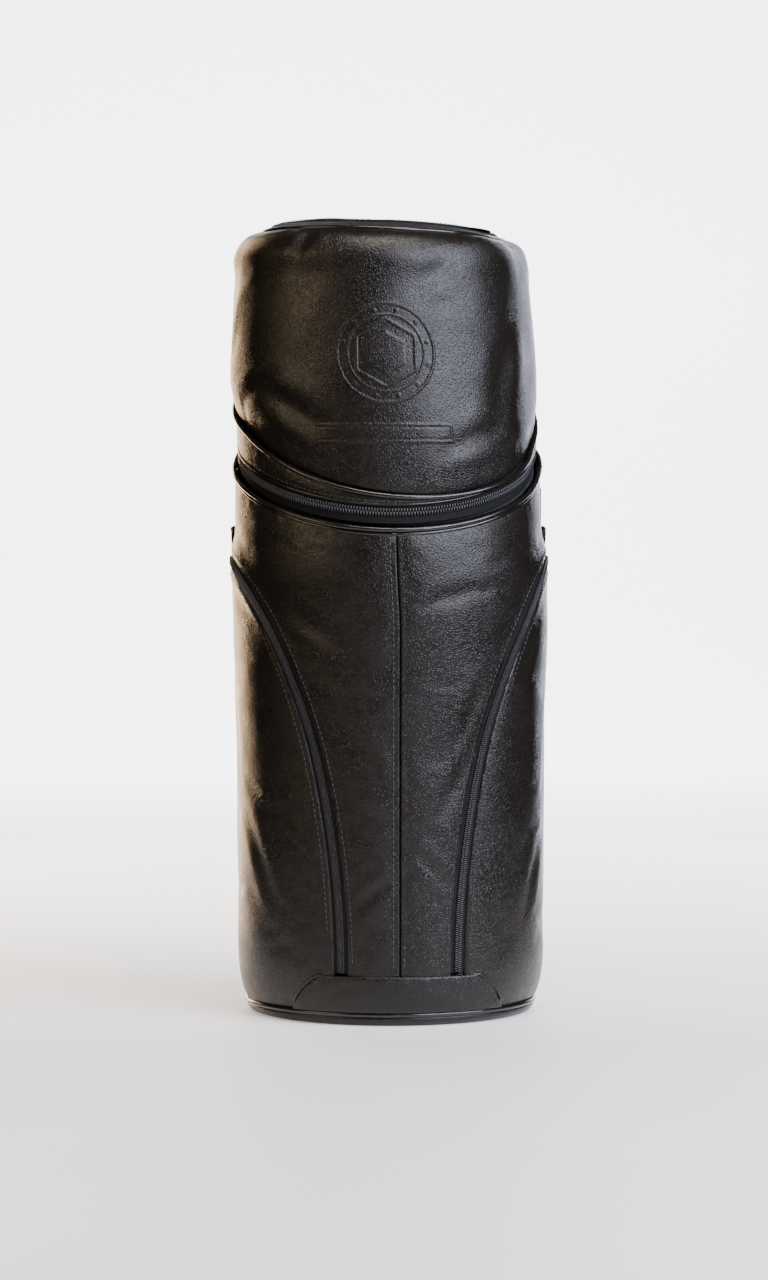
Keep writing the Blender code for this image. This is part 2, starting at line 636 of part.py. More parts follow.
def build_lid(collection):
    """Leather shell, band, pipings, foam and lining, and the lid's half of the top zip."""
    shell = list(LID_PROFILE)
    panel = lid_shell(collection, "lid_panel", "leather", shell, inset(shell, LID_LEATHER))

    foot = (LID_FOAM_FOOT, LID_FOAM_FOOT_RADIUS, RIM_SLOPE)
    edge = inset(shell, LID_LEATHER + GAP)
    foam_outer = [foot, *edge[1:-1], (edge[-1][0], LID_FOAM_EDGE_RADIUS, 0.0)]
    core = inset(shell, LID_LEATHER + GAP + LID_FOAM)
    foam_foot = (LID_FOAM_FOOT, LID_FOAM_FOOT_RADIUS - LID_FOAM, RIM_SLOPE)
    foam_inner = [foam_foot, *core[1:-1], (core[-1][0], LID_FOAM_EDGE_RADIUS, 0.0)]
    foam = lid_shell(collection, "lid_foam", "foam", foam_outer, foam_inner)

    depth = LID_LEATHER + 2 * GAP + LID_FOAM
    face = inset(shell, depth)
    back = inset(shell, depth + LID_LINING)
    bottom = LID_FOAM_FOOT - GAP
    rim = LID_FOAM_FOOT_RADIUS - LID_FOAM - GAP
    lining_outer = [
        (bottom - LID_LINING, LID_FOAM_FOOT_RADIUS, RIM_SLOPE),
        (bottom, LID_FOAM_FOOT_RADIUS, RIM_SLOPE),
        (bottom, rim, RIM_SLOPE),
        *face[1:-1],
        (face[-1][0], LID_FOAM_EDGE_RADIUS, 0.0),
    ]
    lining_inner = [
        (bottom - LID_LINING, rim - LID_LINING, RIM_SLOPE),
        *back[1:-1],
        (back[-1][0], LID_FOAM_EDGE_RADIUS, 0.0),
    ]
    lining = lid_shell(collection, "lid_lining", "lining", lining_outer, lining_inner)

    low, high = ZIP_HEIGHT + TAPE_EDGE + GAP, LID_SEAM_HEIGHT - CORD_CLEARANCE
    band_inner, band_outer = 0.1126, 0.1140
    section = [(band_inner, low), (band_outer, low), (band_outer, high), (band_inner, high)]
    middle = (low + high) / 2
    band = turned(
        collection,
        "lid_band",
        "leather",
        section,
        lambda height: RIM_SLOPE if height < middle else LID_SEAM_SLOPE,
    )
    section = cord_section(LID_PIPING_RADIUS, LID_SEAM_HEIGHT, PIPING_CORD)
    piping = turned(collection, "lid_piping", "piping", section, lambda height: LID_SEAM_SLOPE)
    top_piping = turned(collection, "top_piping", "piping", cord_section(*TOP_PIPING))

    foot, head = Vector(TOP_ZIP_FOOT), Vector(TOP_ZIP_HEAD)
    up = (head - foot).normalized()
    inwards = Vector((up.x, -up.y)).yx.normalized() * TOP_ZIP_THICKNESS
    split = (foot + head) / 2
    ring = {"start": -TOP_ZIP_END, "sweep": 2 * TOP_ZIP_END}
    lower = cone_strip(foot, split - up * CHAIN_HALF_GAP, inwards)
    lower_zip = turned(collection, "top_zip_lower", "zip", lower, **ring)
    upper = cone_strip(split + up * CHAIN_HALF_GAP, head, inwards)
    ring["start"], ring["sweep"] = -TOP_ZIP_FREE, 2 * TOP_ZIP_FREE
    upper_zip = turned(collection, "top_zip_upper", "zip", upper, **ring)
    ring["start"], ring["sweep"] = TOP_ZIP_END + 0.6, 2 * (180.0 - TOP_ZIP_END) - 1.2
    strip = turned(
        collection, "top_hinge_strip", "leather", cone_strip(foot, head, inwards), **ring
    )
    pieces = (panel, foam, lining, band, piping, top_piping, lower_zip, strip)
    pivot(collection, "lid_pivot", LID_HINGE, pieces)
    return upper_zip


def cone_strip(low, high, inwards):
    """Section of a strip on the cone between the lid and its top flap."""
    return [tuple(low), tuple(high), tuple(high + inwards), tuple(low + inwards)]


def build_top_flap(collection, upper_zip):
    """Slightly domed leather disc and its lining."""
    bend_radius, bend_height = 0.058, FLAP_TOP - 0.0006
    layers = (
        ("top_flap_panel", "leather", 0.0, FLAP_LEATHER, 0.0),
        ("top_flap_lining", "lining", FLAP_LEATHER + GAP, FLAP_LINING, 0.0016),
    )
    pieces = [upper_zip]
    for name, finish, depth, thickness, shrink in layers:
        edge = FLAP_RADIUS - shrink
        surface = [(0.0, FLAP_TOP), (bend_radius, bend_height), (edge, FLAP_EDGE_HEIGHT)]
        top = [(radius, height - depth) for radius, height in surface]
        under = [(radius, height - thickness) for radius, height in reversed(top)]
        pieces.append(turned(collection, name, finish, top + under))
    pivot(collection, "top_flap_pivot", TOP_FLAP_HINGE, pieces)


# ---------------------------------------------------------------- zip sliders


def build_slider(collection, name, place, pin_along_zip):
    """Zip slider round the chain, with its pull's pin along the zip or across it."""
    half_length, half_width = SLIDER_LENGTH / 2, SLIDER_WIDTH / 2
    top = SLIDER_CLEARANCE + SLIDER_PLATE
    under = -CHAIN_THICKNESS - SLIDER_CLEARANCE
    bottom = under - SLIDER_PLATE
    plate = box(
        collection,
        name,
        (-half_length, -half_width, SLIDER_CLEARANCE),
        (half_length, half_width, top),
    )
    back = box(collection, "back", (-half_length, -half_width, bottom), (half_length, half_width, under))
    web_low = (-WEB_LENGTH / 2, -WEB_WIDTH / 2, under - SLIDER_PLATE / 2)
    web_high = (WEB_LENGTH / 2, WEB_WIDTH / 2, top - SLIDER_PLATE / 2)
    others = [back, box(collection, "web", web_low, web_high)]
    pin = Vector((1, 0, 0)) if pin_along_zip else Vector((0, 1, 0))
    beside = Vector((0, 0, 1)).cross(pin)
    reach = EYE_WIDTH / 2 + 0.0003
    pin_height = top + PIN_LIFT
    for end in (-1, 1):
        near, far = pin * (end * reach), pin * (end * (reach + LUG))
        corners = [near - beside * LUG, far + beside * LUG]
        low = [min(a, b) for a, b in zip(*corners)]
        high = [max(a, b) for a, b in zip(*corners)]
        low[2], high[2] = top - 0.0003, pin_height + LUG
        others.append(box(collection, f"lug{end}", low, high))
    centre = Vector((0, 0, pin_height))
    length = 2 * (reach + LUG / 2)
    others.append(cylinder(collection, "pin", centre, pin, PIN_RADIUS, length, 8))
    slider = combined(collection, plate, others, "UNION")
    slider.matrix_world = place
    dressed(slider, "metal")
    return place @ centre


def build_pull(collection, name, pin_point, pin, hang):
    """Pull with its eye round a slider's pin, lying along hang."""
    reach = Vector(hang).normalized()
    axis = Vector(pin).normalized()
    turn = Matrix((reach, axis, reach.cross(axis))).transposed().to_4x4()
    half_width, half_thickness = PULL_WIDTH / 2, PULL_THICKNESS / 2
    eye = cylinder(collection, name, (0, 0, 0), (0, 1, 0), EYE_OUTER, EYE_WIDTH)
    neck = box(
        collection,
        "neck",
        (0, -EYE_WIDTH / 2, -half_thickness),
        (PULL_NECK + 0.0004, EYE_WIDTH / 2, half_thickness),
    )
    end = PULL_LENGTH - half_width
    blade = box(
        collection,
        "blade",
        (PULL_NECK, -half_width, -half_thickness + 0.00005),
        (end, half_width, half_thickness - 0.00005),
    )
    tip = cylinder(collection, "tip", (end, 0, 0), (0, 0, 1), half_width - 0.00003, PULL_THICKNESS)
    pull = combined(collection, eye, [neck, blade, tip], "UNION")
    cutters = [
        cylinder(collection, "bore", (0, 0, 0), (0, 1, 0), EYE_HOLE, 0.01, 10),
        cylinder(collection, "hole", (end, 0, 0), (0, 0, 1), PULL_HOLE, 0.01, 10),
    ]
    pull = combined(collection, pull, cutters, "DIFFERENCE")
    pull.matrix_world = Matrix.Translation(pin_point) @ turn
    dressed(pull, "metal")


def lid_zip_point(azimuth):
    """Point on the lid zip's centre line, on the chain's outer face."""
    point = direction(azimuth) * CHAIN_OUTER
    point.z = ZIP_HEIGHT + RIM_SLOPE * point.y
    return point


def build_lid_sliders(collection):
    """Two sliders at the back ends of the lid zip, with their pulls hanging over the rim."""
    for name, side in (("right", 1), ("left", -1)):
        azimuth = side * LID_SLIDER_AZIMUTH
        here, ahead = lid_zip_point(azimuth), lid_zip_point(azimuth - side * 2.5)
        behind = lid_zip_point(azimuth + side * 2.5)
        out = direction(azimuth)
        place = frame_at(here, ahead - behind, out)
        eye = build_slider(collection, f"lid_slider_{name}", place, True)
        pin = place.to_3x3() @ Vector((1, 0, 0))
        down = Matrix.Rotation(math.radians(side * LID_PULL_LEAN), 3, pin) @ Vector((0, 0, -1))
        down = down - pin * down.dot(pin)
        build_pull(collection, f"lid_pull_{name}", eye, pin, down)


def build_top_slider(collection):
    """Slider at the back of the top zip, with its pull lying out over the lid's shoulder."""
    foot, head = Vector(TOP_ZIP_FOOT), Vector(TOP_ZIP_HEAD)
    up = (head - foot).normalized()
    middle = (foot + head) / 2
    radial = direction(TOP_SLIDER_AZIMUTH)
    here = radial * middle.x + Vector((0, 0, middle.y))
    out = radial * up.y + Vector((0, 0, -up.x))
    along = Vector((0, 0, 1)).cross(radial)
    place = frame_at(here, -along, out)
    eye = build_slider(collection, "top_slider", place, True)
    angle = math.radians(TOP_PULL_LEAN)
    hang = radial * math.cos(angle) - Vector((0, 0, 1)) * math.sin(angle)
    build_pull(collection, "top_pull", eye, along, hang)


def pocket_zip_point(height, side):
    """Point on a pocket zip's back stretch, on the chain's outer face."""
    half = POCKET_HALF_ANGLE * math.cos(arch_turn(height))
    point = direction(side * (POCKET_CENTRE + half)) * (body_radius(height) - CHAIN_SINK)
    point.z = height
    return point


def build_pocket_sliders(collection):
    """A slider at the back foot of each pocket zip, with its pull hanging down."""
    for name, side in (("right", 1), ("left", -1)):
        here = pocket_zip_point(POCKET_SLIDER_HEIGHT, side)
        ahead = pocket_zip_point(POCKET_SLIDER_HEIGHT + POCKET_SLIDER_TRAVEL, side)
        out = Vector((here.x, here.y, 0.0))
        place = frame_at(here, ahead - here, out)
        eye = build_slider(collection, f"pocket_slider_{name}", place, False)
        pin = place.to_3x3() @ Vector((0, 1, 0))
        build_pull(collection, f"pocket_pull_{name}", eye, pin, here - ahead)


# ---------------------------------------------------------------- rings, tabs and handle


def build_side_ring(collection, name, side):
    """D-ring hanging in a leather tab on one side."""
    azimuth = side * RING_AZIMUTH
    radial = direction(azimuth)
    tangent = Vector((0, 0, 1)).cross(radial)
    centre = radial * RING_PIVOT_RADIUS + Vector((0, 0, RING_PIVOT_HEIGHT))
    place = Matrix.Translation(centre) @ Matrix((tangent, -radial, Vector((0, 0, 1)))).transposed().to_4x4()

    half = RING_TAB_WIDTH / 2
    lift = RING_PIVOT_RADIUS - BODY_PROFILE[-3][1] - GAP
    strap = box(
        collection,
        f"side_ring_tab_{name}",
        (-half, lift - 0.0024, 0.0),
        (half, lift, RING_TAB_TOP - RING_PIVOT_HEIGHT),
    )
    roll = cylinder(collection, "roll", (0, 0, 0), (1, 0, 0), LOOP_OUTER, RING_TAB_WIDTH)
    bore = cylinder(collection, "bore", (0, 0, 0), (1, 0, 0), LOOP_HOLE, RING_TAB_WIDTH + 0.002)
    tab = combined(collection, strap, [roll], "UNION")
    tab = combined(collection, tab, [bore], "DIFFERENCE")
    tab.matrix_world = place
    dressed(tab, "leather")

    half = RING_WIDTH / 2
    shoulder = 0.004
    points = [Vector((-half, 0, 0)), Vector((half, 0, 0))]
    for step in range(9):
        turn = math.pi * step / 8
        drop = shoulder + (RING_DROP - shoulder) * math.sin(turn)
        points.append(Vector((half * math.cos(turn), 0, -drop)))
    ring = tube(collection, f"side_ring_{name}", points, RING_WIRE, cyclic=True)
    ring.matrix_world = place
    dressed(ring, "metal")


def build_handle(collection):
    """Rolled leather handle on the back, held by two wire rings in leather tabs."""
    tab_azimuth = 180.0 - math.degrees(math.asin(HANDLE_HALF_SPAN / BODY_PROFILE[-1][1]))
    x_axis = Vector((1, 0, 0))
    half = HANDLE_TAB_WIDTH / 2
    moving = []
    for name, side in (("right", 1), ("left", -1)):
        centre = HANDLE_PIVOT + x_axis * (side * HANDLE_HALF_SPAN)
        middle = across(tab_azimuth)
        low, high = HANDLE_PIVOT.z + 0.003, HANDLE_TAB_TOP
        outline = [(middle - half, low), (middle + half, low), (middle + half, high), (middle - half, high)]
        outline = outline if side > 0 else mirrored(outline)
        patch = wrapped(
            collection,
            f"handle_tab_{name}",
            "leather",
            outline,
            under_leather(-GAP),
            under_leather(-GAP - 0.0020),
        )
        neck = box(
            collection,
            "neck",
            (centre.x - half, 0.1128, centre.z),
            (centre.x + half, centre.y, centre.z + 0.0070),
        )
        roll = cylinder(collection, "roll", centre, x_axis, LOOP_OUTER, HANDLE_TAB_WIDTH)
        bore = cylinder(collection, "bore", centre, x_axis, LOOP_HOLE, HANDLE_TAB_WIDTH + 0.002)
        tab = combined(collection, patch, [neck, roll], "UNION")
        combined(collection, tab, [bore], "DIFFERENCE")

        eye = HANDLE_EYE + x_axis * (side * HANDLE_HALF_SPAN)
        reach = x_axis * (HANDLE_RING_WIDTH / 2)
        corners = [centre - reach, centre + reach, eye + reach, eye - reach]
        ring = tube(collection, f"handle_ring_{name}", corners, HANDLE_RING_WIRE, cyclic=True)
        moving.append(dressed(ring, "metal"))

    span, bend = HANDLE_HALF_SPAN, HANDLE_BEND
    down = HANDLE_EYE.z - HANDLE_DROP + bend
    right = [Vector((span, HANDLE_EYE.y, HANDLE_EYE.z + 0.004)), Vector((span, HANDLE_EYE.y, down))]
    for step in range(1, 6):
        turn = math.radians(18.0 * step)
        right.append(
            Vector((span - bend + bend * math.cos(turn), HANDLE_EYE.y, down - bend * math.sin(turn)))
        )
    left = [Vector((-point.x, point.y, point.z)) for point in reversed(right)]
    handle = tube(collection, "grab_handle", right + left, HANDLE_ROD)
    bores = []
    for side in (1, -1):
        eye = HANDLE_EYE + x_axis * (side * HANDLE_HALF_SPAN)
        bores.append(cylinder(collection, f"bore{side}", eye, x_axis, 0.0018, 0.014))
    handle = combined(collection, handle, bores, "DIFFERENCE")
    moving.append(dressed(handle, "leather"))
    pivot(collection, "grab_handle_pivot", HANDLE_PIVOT, moving)


def main():
    """Build the whole bag."""
    collection = clear_scene()
    build_base(collection)
    build_wall(collection)
    build_lid_zip(collection)
    upper_zip = build_lid(collection)
    build_top_flap(collection, upper_zip)
    for name, side in (("right", 1), ("left", -1)):
        build_pocket(collection, name, side)
        build_side_ring(collection, name, side)
    build_handle(collection)
    build_lid_sliders(collection)
    build_top_slider(collection)
    build_pocket_sliders(collection)


main()
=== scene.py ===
"""Dressed visual model of a round padded carrying bag on its shared CAD frame.

Every sub-assembly is a class that builds its own pieces and dresses them.
Lengths are metres, angles degrees. An azimuth is measured round the bag from
the front seam (-Y) towards +X. Flat pattern pieces are drawn as (width, height)
pairs, where width is the azimuth times FLAT_RADIUS, and wrapped round the bag.
"""

import json
import logging
import math
from dataclasses import dataclass, field
from enum import Enum
from typing import Callable, Optional, Protocol, Sequence, Union

import bmesh
import bpy
import numpy as np
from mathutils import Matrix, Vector
from mathutils.bvhtree import BVHTree

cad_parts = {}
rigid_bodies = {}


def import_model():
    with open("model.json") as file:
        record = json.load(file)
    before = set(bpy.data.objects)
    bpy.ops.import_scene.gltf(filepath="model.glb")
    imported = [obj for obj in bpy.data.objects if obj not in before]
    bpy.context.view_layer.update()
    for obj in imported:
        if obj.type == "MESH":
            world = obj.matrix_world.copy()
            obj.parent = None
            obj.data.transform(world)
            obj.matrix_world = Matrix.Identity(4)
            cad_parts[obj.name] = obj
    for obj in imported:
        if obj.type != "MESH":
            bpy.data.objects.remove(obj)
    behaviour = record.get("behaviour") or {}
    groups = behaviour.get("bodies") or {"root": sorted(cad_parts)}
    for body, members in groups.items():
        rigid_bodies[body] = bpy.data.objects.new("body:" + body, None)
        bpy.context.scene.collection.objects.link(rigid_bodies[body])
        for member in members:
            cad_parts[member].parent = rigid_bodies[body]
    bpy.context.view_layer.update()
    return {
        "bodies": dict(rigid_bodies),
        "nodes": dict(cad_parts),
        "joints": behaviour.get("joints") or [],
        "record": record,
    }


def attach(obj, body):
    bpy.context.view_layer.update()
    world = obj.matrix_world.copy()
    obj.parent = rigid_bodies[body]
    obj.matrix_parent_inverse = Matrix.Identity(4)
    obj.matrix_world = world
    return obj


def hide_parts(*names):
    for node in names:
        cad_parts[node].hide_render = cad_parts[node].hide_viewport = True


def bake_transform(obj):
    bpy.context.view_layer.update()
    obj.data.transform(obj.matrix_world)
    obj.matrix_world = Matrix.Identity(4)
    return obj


log = logging.getLogger("bag")
Input = Union[float, tuple, bpy.types.NodeSocket]  # what a shader input takes

FLAT_RADIUS = 0.1148  # radius that the flat pattern is drawn for
PER_DEGREE = FLAT_RADIUS * math.pi / 180.0
HEM = 0.0097  # lower edge of the wall's leather

BODY_PROFILE = (
    (0.0095, 0.1110),
    (0.015, 0.1125),
    (0.038, 0.1148),
    (0.206, 0.1148),
    (0.245, 0.1164),
    (0.305, 0.1183),
    (0.337, 0.1190),
    (0.369, 0.1173),
    (0.420, 0.1165),
    (0.470, 0.1165),
)
LID_PROFILE = (
    (0.4563, 0.1150, 0.50),
    (0.487, 0.1145, 0.27),
    (0.522, 0.1120, 0.0),
    (0.563, 0.1083, 0.0),
    (0.583, 0.1050, 0.0),
    (0.5885, 0.1000, 0.0),
    (0.5905, 0.0925, 0.0),
)
RIM_HEIGHT, RIM_SLOPE, RIM_PIPING = 0.4175, 0.42, 0.1168
ZIP_HEIGHT, ZIP_SLOPE, ZIP_RADIUS = 0.4285, 0.42, 0.1122
LID_SEAM, LID_SLOPE, LID_PIPING = 0.454, 0.50, 0.1145
ZIP_END = 140.0  # azimuth where the lid zip gives way to the hinge strip
ARCH_LOW, ARCH_RISE, ARCH_SPAN = 0.038, 0.307, 67.5
ZIP_HALF = 0.0064  # half the width of a pocket zip between its leather edges
CLOTH_FRAMES = 20  # how long the padding pushes the panels out
RAY_START, RAY_REACH = 0.02, 0.03  # how a seam's line is looked for on the leather under it


# ---------------------------------------------------------------- colour and finishes


def linear(code: str) -> tuple[float, float, float, float]:
    """Convert an sRGB hex colour to the linear values that shaders take.

    Args:
        code: colour as "#rrggbb".

    Returns:
        Linear red, green, blue and an alpha of one.
    """
    parts = [int(code[i : i + 2], 16) / 255.0 for i in (1, 3, 5)]
    red, green, blue = (c / 12.92 if c <= 0.04045 else ((c + 0.055) / 1.055) ** 2.4 for c in parts)
    return (red, green, blue, 1.0)


class Coordinates(Enum):
    """Where a finish takes its pattern coordinates from, both in metres."""

    FLAT = "UV"  # the flat pattern, so the grain isn't stretched by the shape
    SOLID = "Object"


def add_node(
    tree: bpy.types.NodeTree, kind: str, values: Optional[dict] = None, **settings
) -> bpy.types.Node:
    """Add one shader node with its settings, constant values and links.

    Args:
        tree: node tree to add to.
        kind: Blender's node type name.
        values: input name or number to a constant, or to an output socket to link.
        settings: properties set on the node itself.

    Returns:
        The new node.
    """
    node = tree.nodes.new(kind)
    for name, value in settings.items():
        setattr(node, name, value)
    for key, value in (values or {}).items():
        if isinstance(value, bpy.types.NodeSocket):
            tree.links.new(value, node.inputs[key])
        else:
            node.inputs[key].default_value = value
    return node


def sized(point: bpy.types.NodeSocket, size: float, detail: float = 3.0, rough: float = 0.55) -> dict:
    """Inputs of a noise whose features have a real size.

    Args:
        point: coordinates in metres.
        size: size of a feature in metres.
        detail: octaves.
        rough: how strong the finer octaves are.

    Returns:
        The noise's inputs.
    """
    return {"Vector": point, "Scale": 1.0 / size, "Detail": detail, "Roughness": rough}


def ranged(value: bpy.types.NodeSocket, low: float, high: float, to_low: float, to_high: float) -> dict:
    """Inputs of a mapping from one range to another.

    Args:
        value: what is mapped.
        low: lower end of its range.
        high: upper end of its range.
        to_low: result at the lower end.
        to_high: result at the upper end.

    Returns:
        The mapping's inputs.
    """
    return {"Value": value, 1: low, 2: high, 3: to_low, 4: to_high}


class Surface:
    """One procedural material while it is being built."""

    def __init__(self, name: str, coordinates: Coordinates) -> None:
        """Start an empty material.

        Args:
            name: material name.
            coordinates: where the pattern coordinates come from.
        """
        self.material = bpy.data.materials.new(name)
        self.material.use_nodes = True
        self.tree = self.material.node_tree
        self.tree.nodes.clear()
        self.point = add_node(self.tree, "ShaderNodeTexCoord").outputs[coordinates.value]

    def add(self, kind: str, values: dict, output: str | int = 0, **settings) -> bpy.types.NodeSocket:
        """Add any node to this material.

        Args:
            kind: Blender's node type name.
            values: its inputs.
            output: name or number of the output that is wanted.
            settings: properties set on the node itself.

        Returns:
            That output.
        """
        return add_node(self.tree, kind, values, **settings).outputs[output]

    def noise_and_range(
        self, noise: dict, low: float, high: float, to_low: float, to_high: float
    ) -> bpy.types.NodeSocket:
        """A noise spread over a range of values, for wear and uneven gloss.

        Args:
            noise: the noise's inputs.
            low: noise value where the range starts.
            high: noise value where it ends.
            to_low: result at the start.
            to_high: result at the end.

        Returns:
            The value socket.
        """
        source = self.add("ShaderNodeTexNoise", noise, "Fac")
        return self.add("ShaderNodeMapRange", ranged(source, low, high, to_low, to_high), "Result")

    def finished(
        self, colour: Input, roughness: Input, reliefs: Sequence[tuple] = (), **constants
    ) -> bpy.types.Material:
        """Lay the reliefs over each other and close the material.

        Args:
            colour: colour or socket.
            roughness: value or socket.
            reliefs: (height socket, depth in metres, how much of it shows) of each relief.
            constants: other shader inputs, with underscores for spaces.

        Returns:
            The material.
        """
        values = {"Base Color": colour, "Roughness": roughness}
        values.update({name.replace("_", " "): value for name, value in constants.items()})
        for height, depth, strength in reliefs:
            relief = {"Strength": strength, "Distance": depth, "Height": height}
            if "Normal" in values:
                relief["Normal"] = values["Normal"]
            values["Normal"] = self.add("ShaderNodeBump", relief, "Normal")
        shader = self.add("ShaderNodeBsdfPrincipled", values)
        add_node(self.tree, "ShaderNodeOutputMaterial", {"Surface": shader})
        return self.material


@dataclass(frozen=True)
class Leather:
    """Coated imitation leather: a knit backing with an embossed, slightly glossy skin.

    The rolled-on grain gives small rounded cells that break every highlight into
    fine sparkles; handling polishes some areas and leaves others dull. The cells
    are drawn coarser than the real half millimetre, which is too fine to show.
    """

    name: str
    colour: str = "#100d0b"
    worn: str = "#18130f"
    cell: float = 0.0020
    depth: float = 0.00021
    gloss: float = 0.28
    shine: float = 0.30
    coordinates: Coordinates = Coordinates.FLAT

    def build(self) -> bpy.types.Material:
        """Return the procedural material."""
        s = Surface(self.name, self.coordinates)
        broad = {"Vector": s.point, "Scale": 0.6 / self.cell, "Detail": 2.0}
        drift = s.add("ShaderNodeTexNoise", broad, "Color")
        moved = {0: drift, 1: (self.cell * 1.3,) * 3, 2: s.point}
        warp = s.add("ShaderNodeVectorMath", moved, operation="MULTIPLY_ADD")
        edges = {"Vector": warp, "Scale": 1.0 / self.cell}
        crease = s.add("ShaderNodeTexVoronoi", edges, "Distance", feature="DISTANCE_TO_EDGE")
        rounded = ranged(crease, 0.01, 0.42, 0.0, 1.0)
        pebble = s.add("ShaderNodeMapRange", rounded, "Result", interpolation_type="SMOOTHERSTEP")
        pores = s.add("ShaderNodeTexNoise", sized(s.point, self.cell * 0.4, 2.0), "Fac")
        slack = s.add("ShaderNodeTexNoise", sized(s.point, 0.060, 2.0, 0.5), "Fac")
        crumple = s.add("ShaderNodeTexNoise", sized(s.point, 0.0075, 3.0, 0.6), "Fac")
        rubbed = s.noise_and_range(sized(s.point, 0.045, 4.0, 0.6), 0.42, 0.72, 0.0, 1.0)
        tops = s.add("ShaderNodeMath", {0: rubbed, 1: pebble}, operation="MULTIPLY")
        shades = {0: tops, 6: linear(self.colour), 7: linear(self.worn)}
        colour = s.add("ShaderNodeMix", shades, 2, data_type="RGBA")
        handled = s.noise_and_range(sized(s.point, 0.03), 0.3, 0.7, self.gloss - 0.04, self.gloss + 0.08)
        dull = s.add("ShaderNodeMapRange", ranged(pebble, 0.0, 0.6, 0.04, 0.0), "Result")
        rough = s.add("ShaderNodeMath", {0: handled, 1: dull}, operation="ADD")
        reliefs = (
            (slack, 0.0008, 0.5),
            (crumple, 0.00015, 0.5),
            (pebble, self.depth, 0.75),
            (pores, self.depth * 0.25, 0.4),
        )
        return s.finished(colour, rough, reliefs, Specular_IOR_Level=self.shine)


@dataclass(frozen=True)
class Woven:
    """Plain woven polyester: threads over and under, matt, with a faint sheen and a painted highlight on the
    raised crossings.
    """

    name: str
    colour: str
    thread: float = 0.0006
    roughness: float = 0.82
    coordinates: Coordinates = Coordinates.FLAT

    def build(self) -> bpy.types.Material:
        """Return the procedural material."""
        s = Surface(self.name, self.coordinates)
        axes = add_node(s.tree, "ShaderNodeSeparateXYZ", {0: s.point}).outputs
        strands = []
        for axis in (0, 1):
            turns = s.add("ShaderNodeMath", {0: axes[axis], 1: math.pi / self.thread}, operation="MULTIPLY")
            strands.append(s.add("ShaderNodeMath", {0: turns, 1: 0.0}, operation="SINE"))
        crossing = s.add("ShaderNodeMath", {0: strands[0], 1: strands[1]}, operation="MULTIPLY")
        weave = s.add("ShaderNodeMapRange", ranged(crossing, -1.0, 1.0, 0.0, 1.0), "Result")
        slack = s.add("ShaderNodeTexNoise", sized(s.point, 0.012), "Fac")
        base = linear(self.colour)
        # Painted highlight: the raised thread crossings are mixed towards a paler colour, as light would
        # catch the thread tops.
        pale = tuple(min(c * 1.9 + 0.004, 1.0) for c in base[:3]) + (1.0,)
        raised = s.add("ShaderNodeMapRange", ranged(weave, 0.2, 1.0, 0.0, 0.6), "Result")
        colour = s.add("ShaderNodeMix", {0: raised, 6: base, 7: pale}, 2, data_type="RGBA")
        uneven = (0.3, 0.7, self.roughness - 0.05, self.roughness + 0.05)
        rough = s.noise_and_range(sized(s.point, 0.02), *uneven)
        reliefs = ((slack, 0.0008, 0.4), (weave, self.thread * 0.35, 0.8))
        return s.finished(colour, rough, reliefs, Specular_IOR_Level=0.2)


@dataclass(frozen=True)
class Moulded:
    """Moulded or drawn plastic: smooth, a little uneven, with fine rub marks."""

    name: str
    colour: str
    roughness: float = 0.38
    grain: float = 0.0012
    scuffed: float = 1.0
    coordinates: Coordinates = Coordinates.SOLID

    def build(self) -> bpy.types.Material:
        """Return the procedural material."""
        s = Surface(self.name, self.coordinates)
        grain = s.add("ShaderNodeTexNoise", sized(s.point, self.grain), "Fac")
        scuff = s.noise_and_range(sized(s.point, 0.006, 5.0, 0.7), 0.45, 0.7, 0.0, self.scuffed)
        base = linear(self.colour)
        pale = tuple(c * 1.6 + 0.003 for c in base[:3]) + (1.0,)
        colour = s.add("ShaderNodeMix", {0: scuff, 6: base, 7: pale}, 2, data_type="RGBA")
        dull = ranged(scuff, 0.0, 1.0, self.roughness, self.roughness + 0.2)
        rough = s.add("ShaderNodeMapRange", dull, "Result")
        return s.finished(colour, rough, ((grain, self.grain * 0.06, 0.5),), Specular_IOR_Level=0.5)


@dataclass(frozen=True)
class Plated:
    """Die-cast zinc under a black nickel plating: dark mirror with rubbed, paler edges."""

    name: str
    colour: str = "#3b3a3c"
    bright: str = "#8b8886"
    roughness: float = 0.27

    def build(self) -> bpy.types.Material:
        """Return the procedural material."""
        s = Surface(self.name, Coordinates.SOLID)
        lengthwise = {"Vector": s.point, "Scale": (300.0, 300.0, 2600.0)}
        strokes = s.add("ShaderNodeMapping", lengthwise, "Vector")
        brushed = s.add("ShaderNodeTexNoise", sized(strokes, 1.0, 4.0, 0.6), "Fac")
        cast = s.add("ShaderNodeTexNoise", sized(s.point, 0.003), "Fac")
        rub = s.noise_and_range(sized(s.point, 0.004, 5.0, 0.7), 0.5, 0.72, 0.0, 1.0)
        spread = (0.3, 0.7, self.roughness - 0.06, self.roughness + 0.14)
        rough = s.noise_and_range(sized(s.point, 0.0015, 4.0), *spread)
        shades = {0: rub, 6: linear(self.colour), 7: linear(self.bright)}
        colour = s.add("ShaderNodeMix", shades, 2, data_type="RGBA")
        return s.finished(colour, rough, ((brushed, 0.00004, 0.5), (cast, 0.0001, 0.4)), Metallic=1.0)


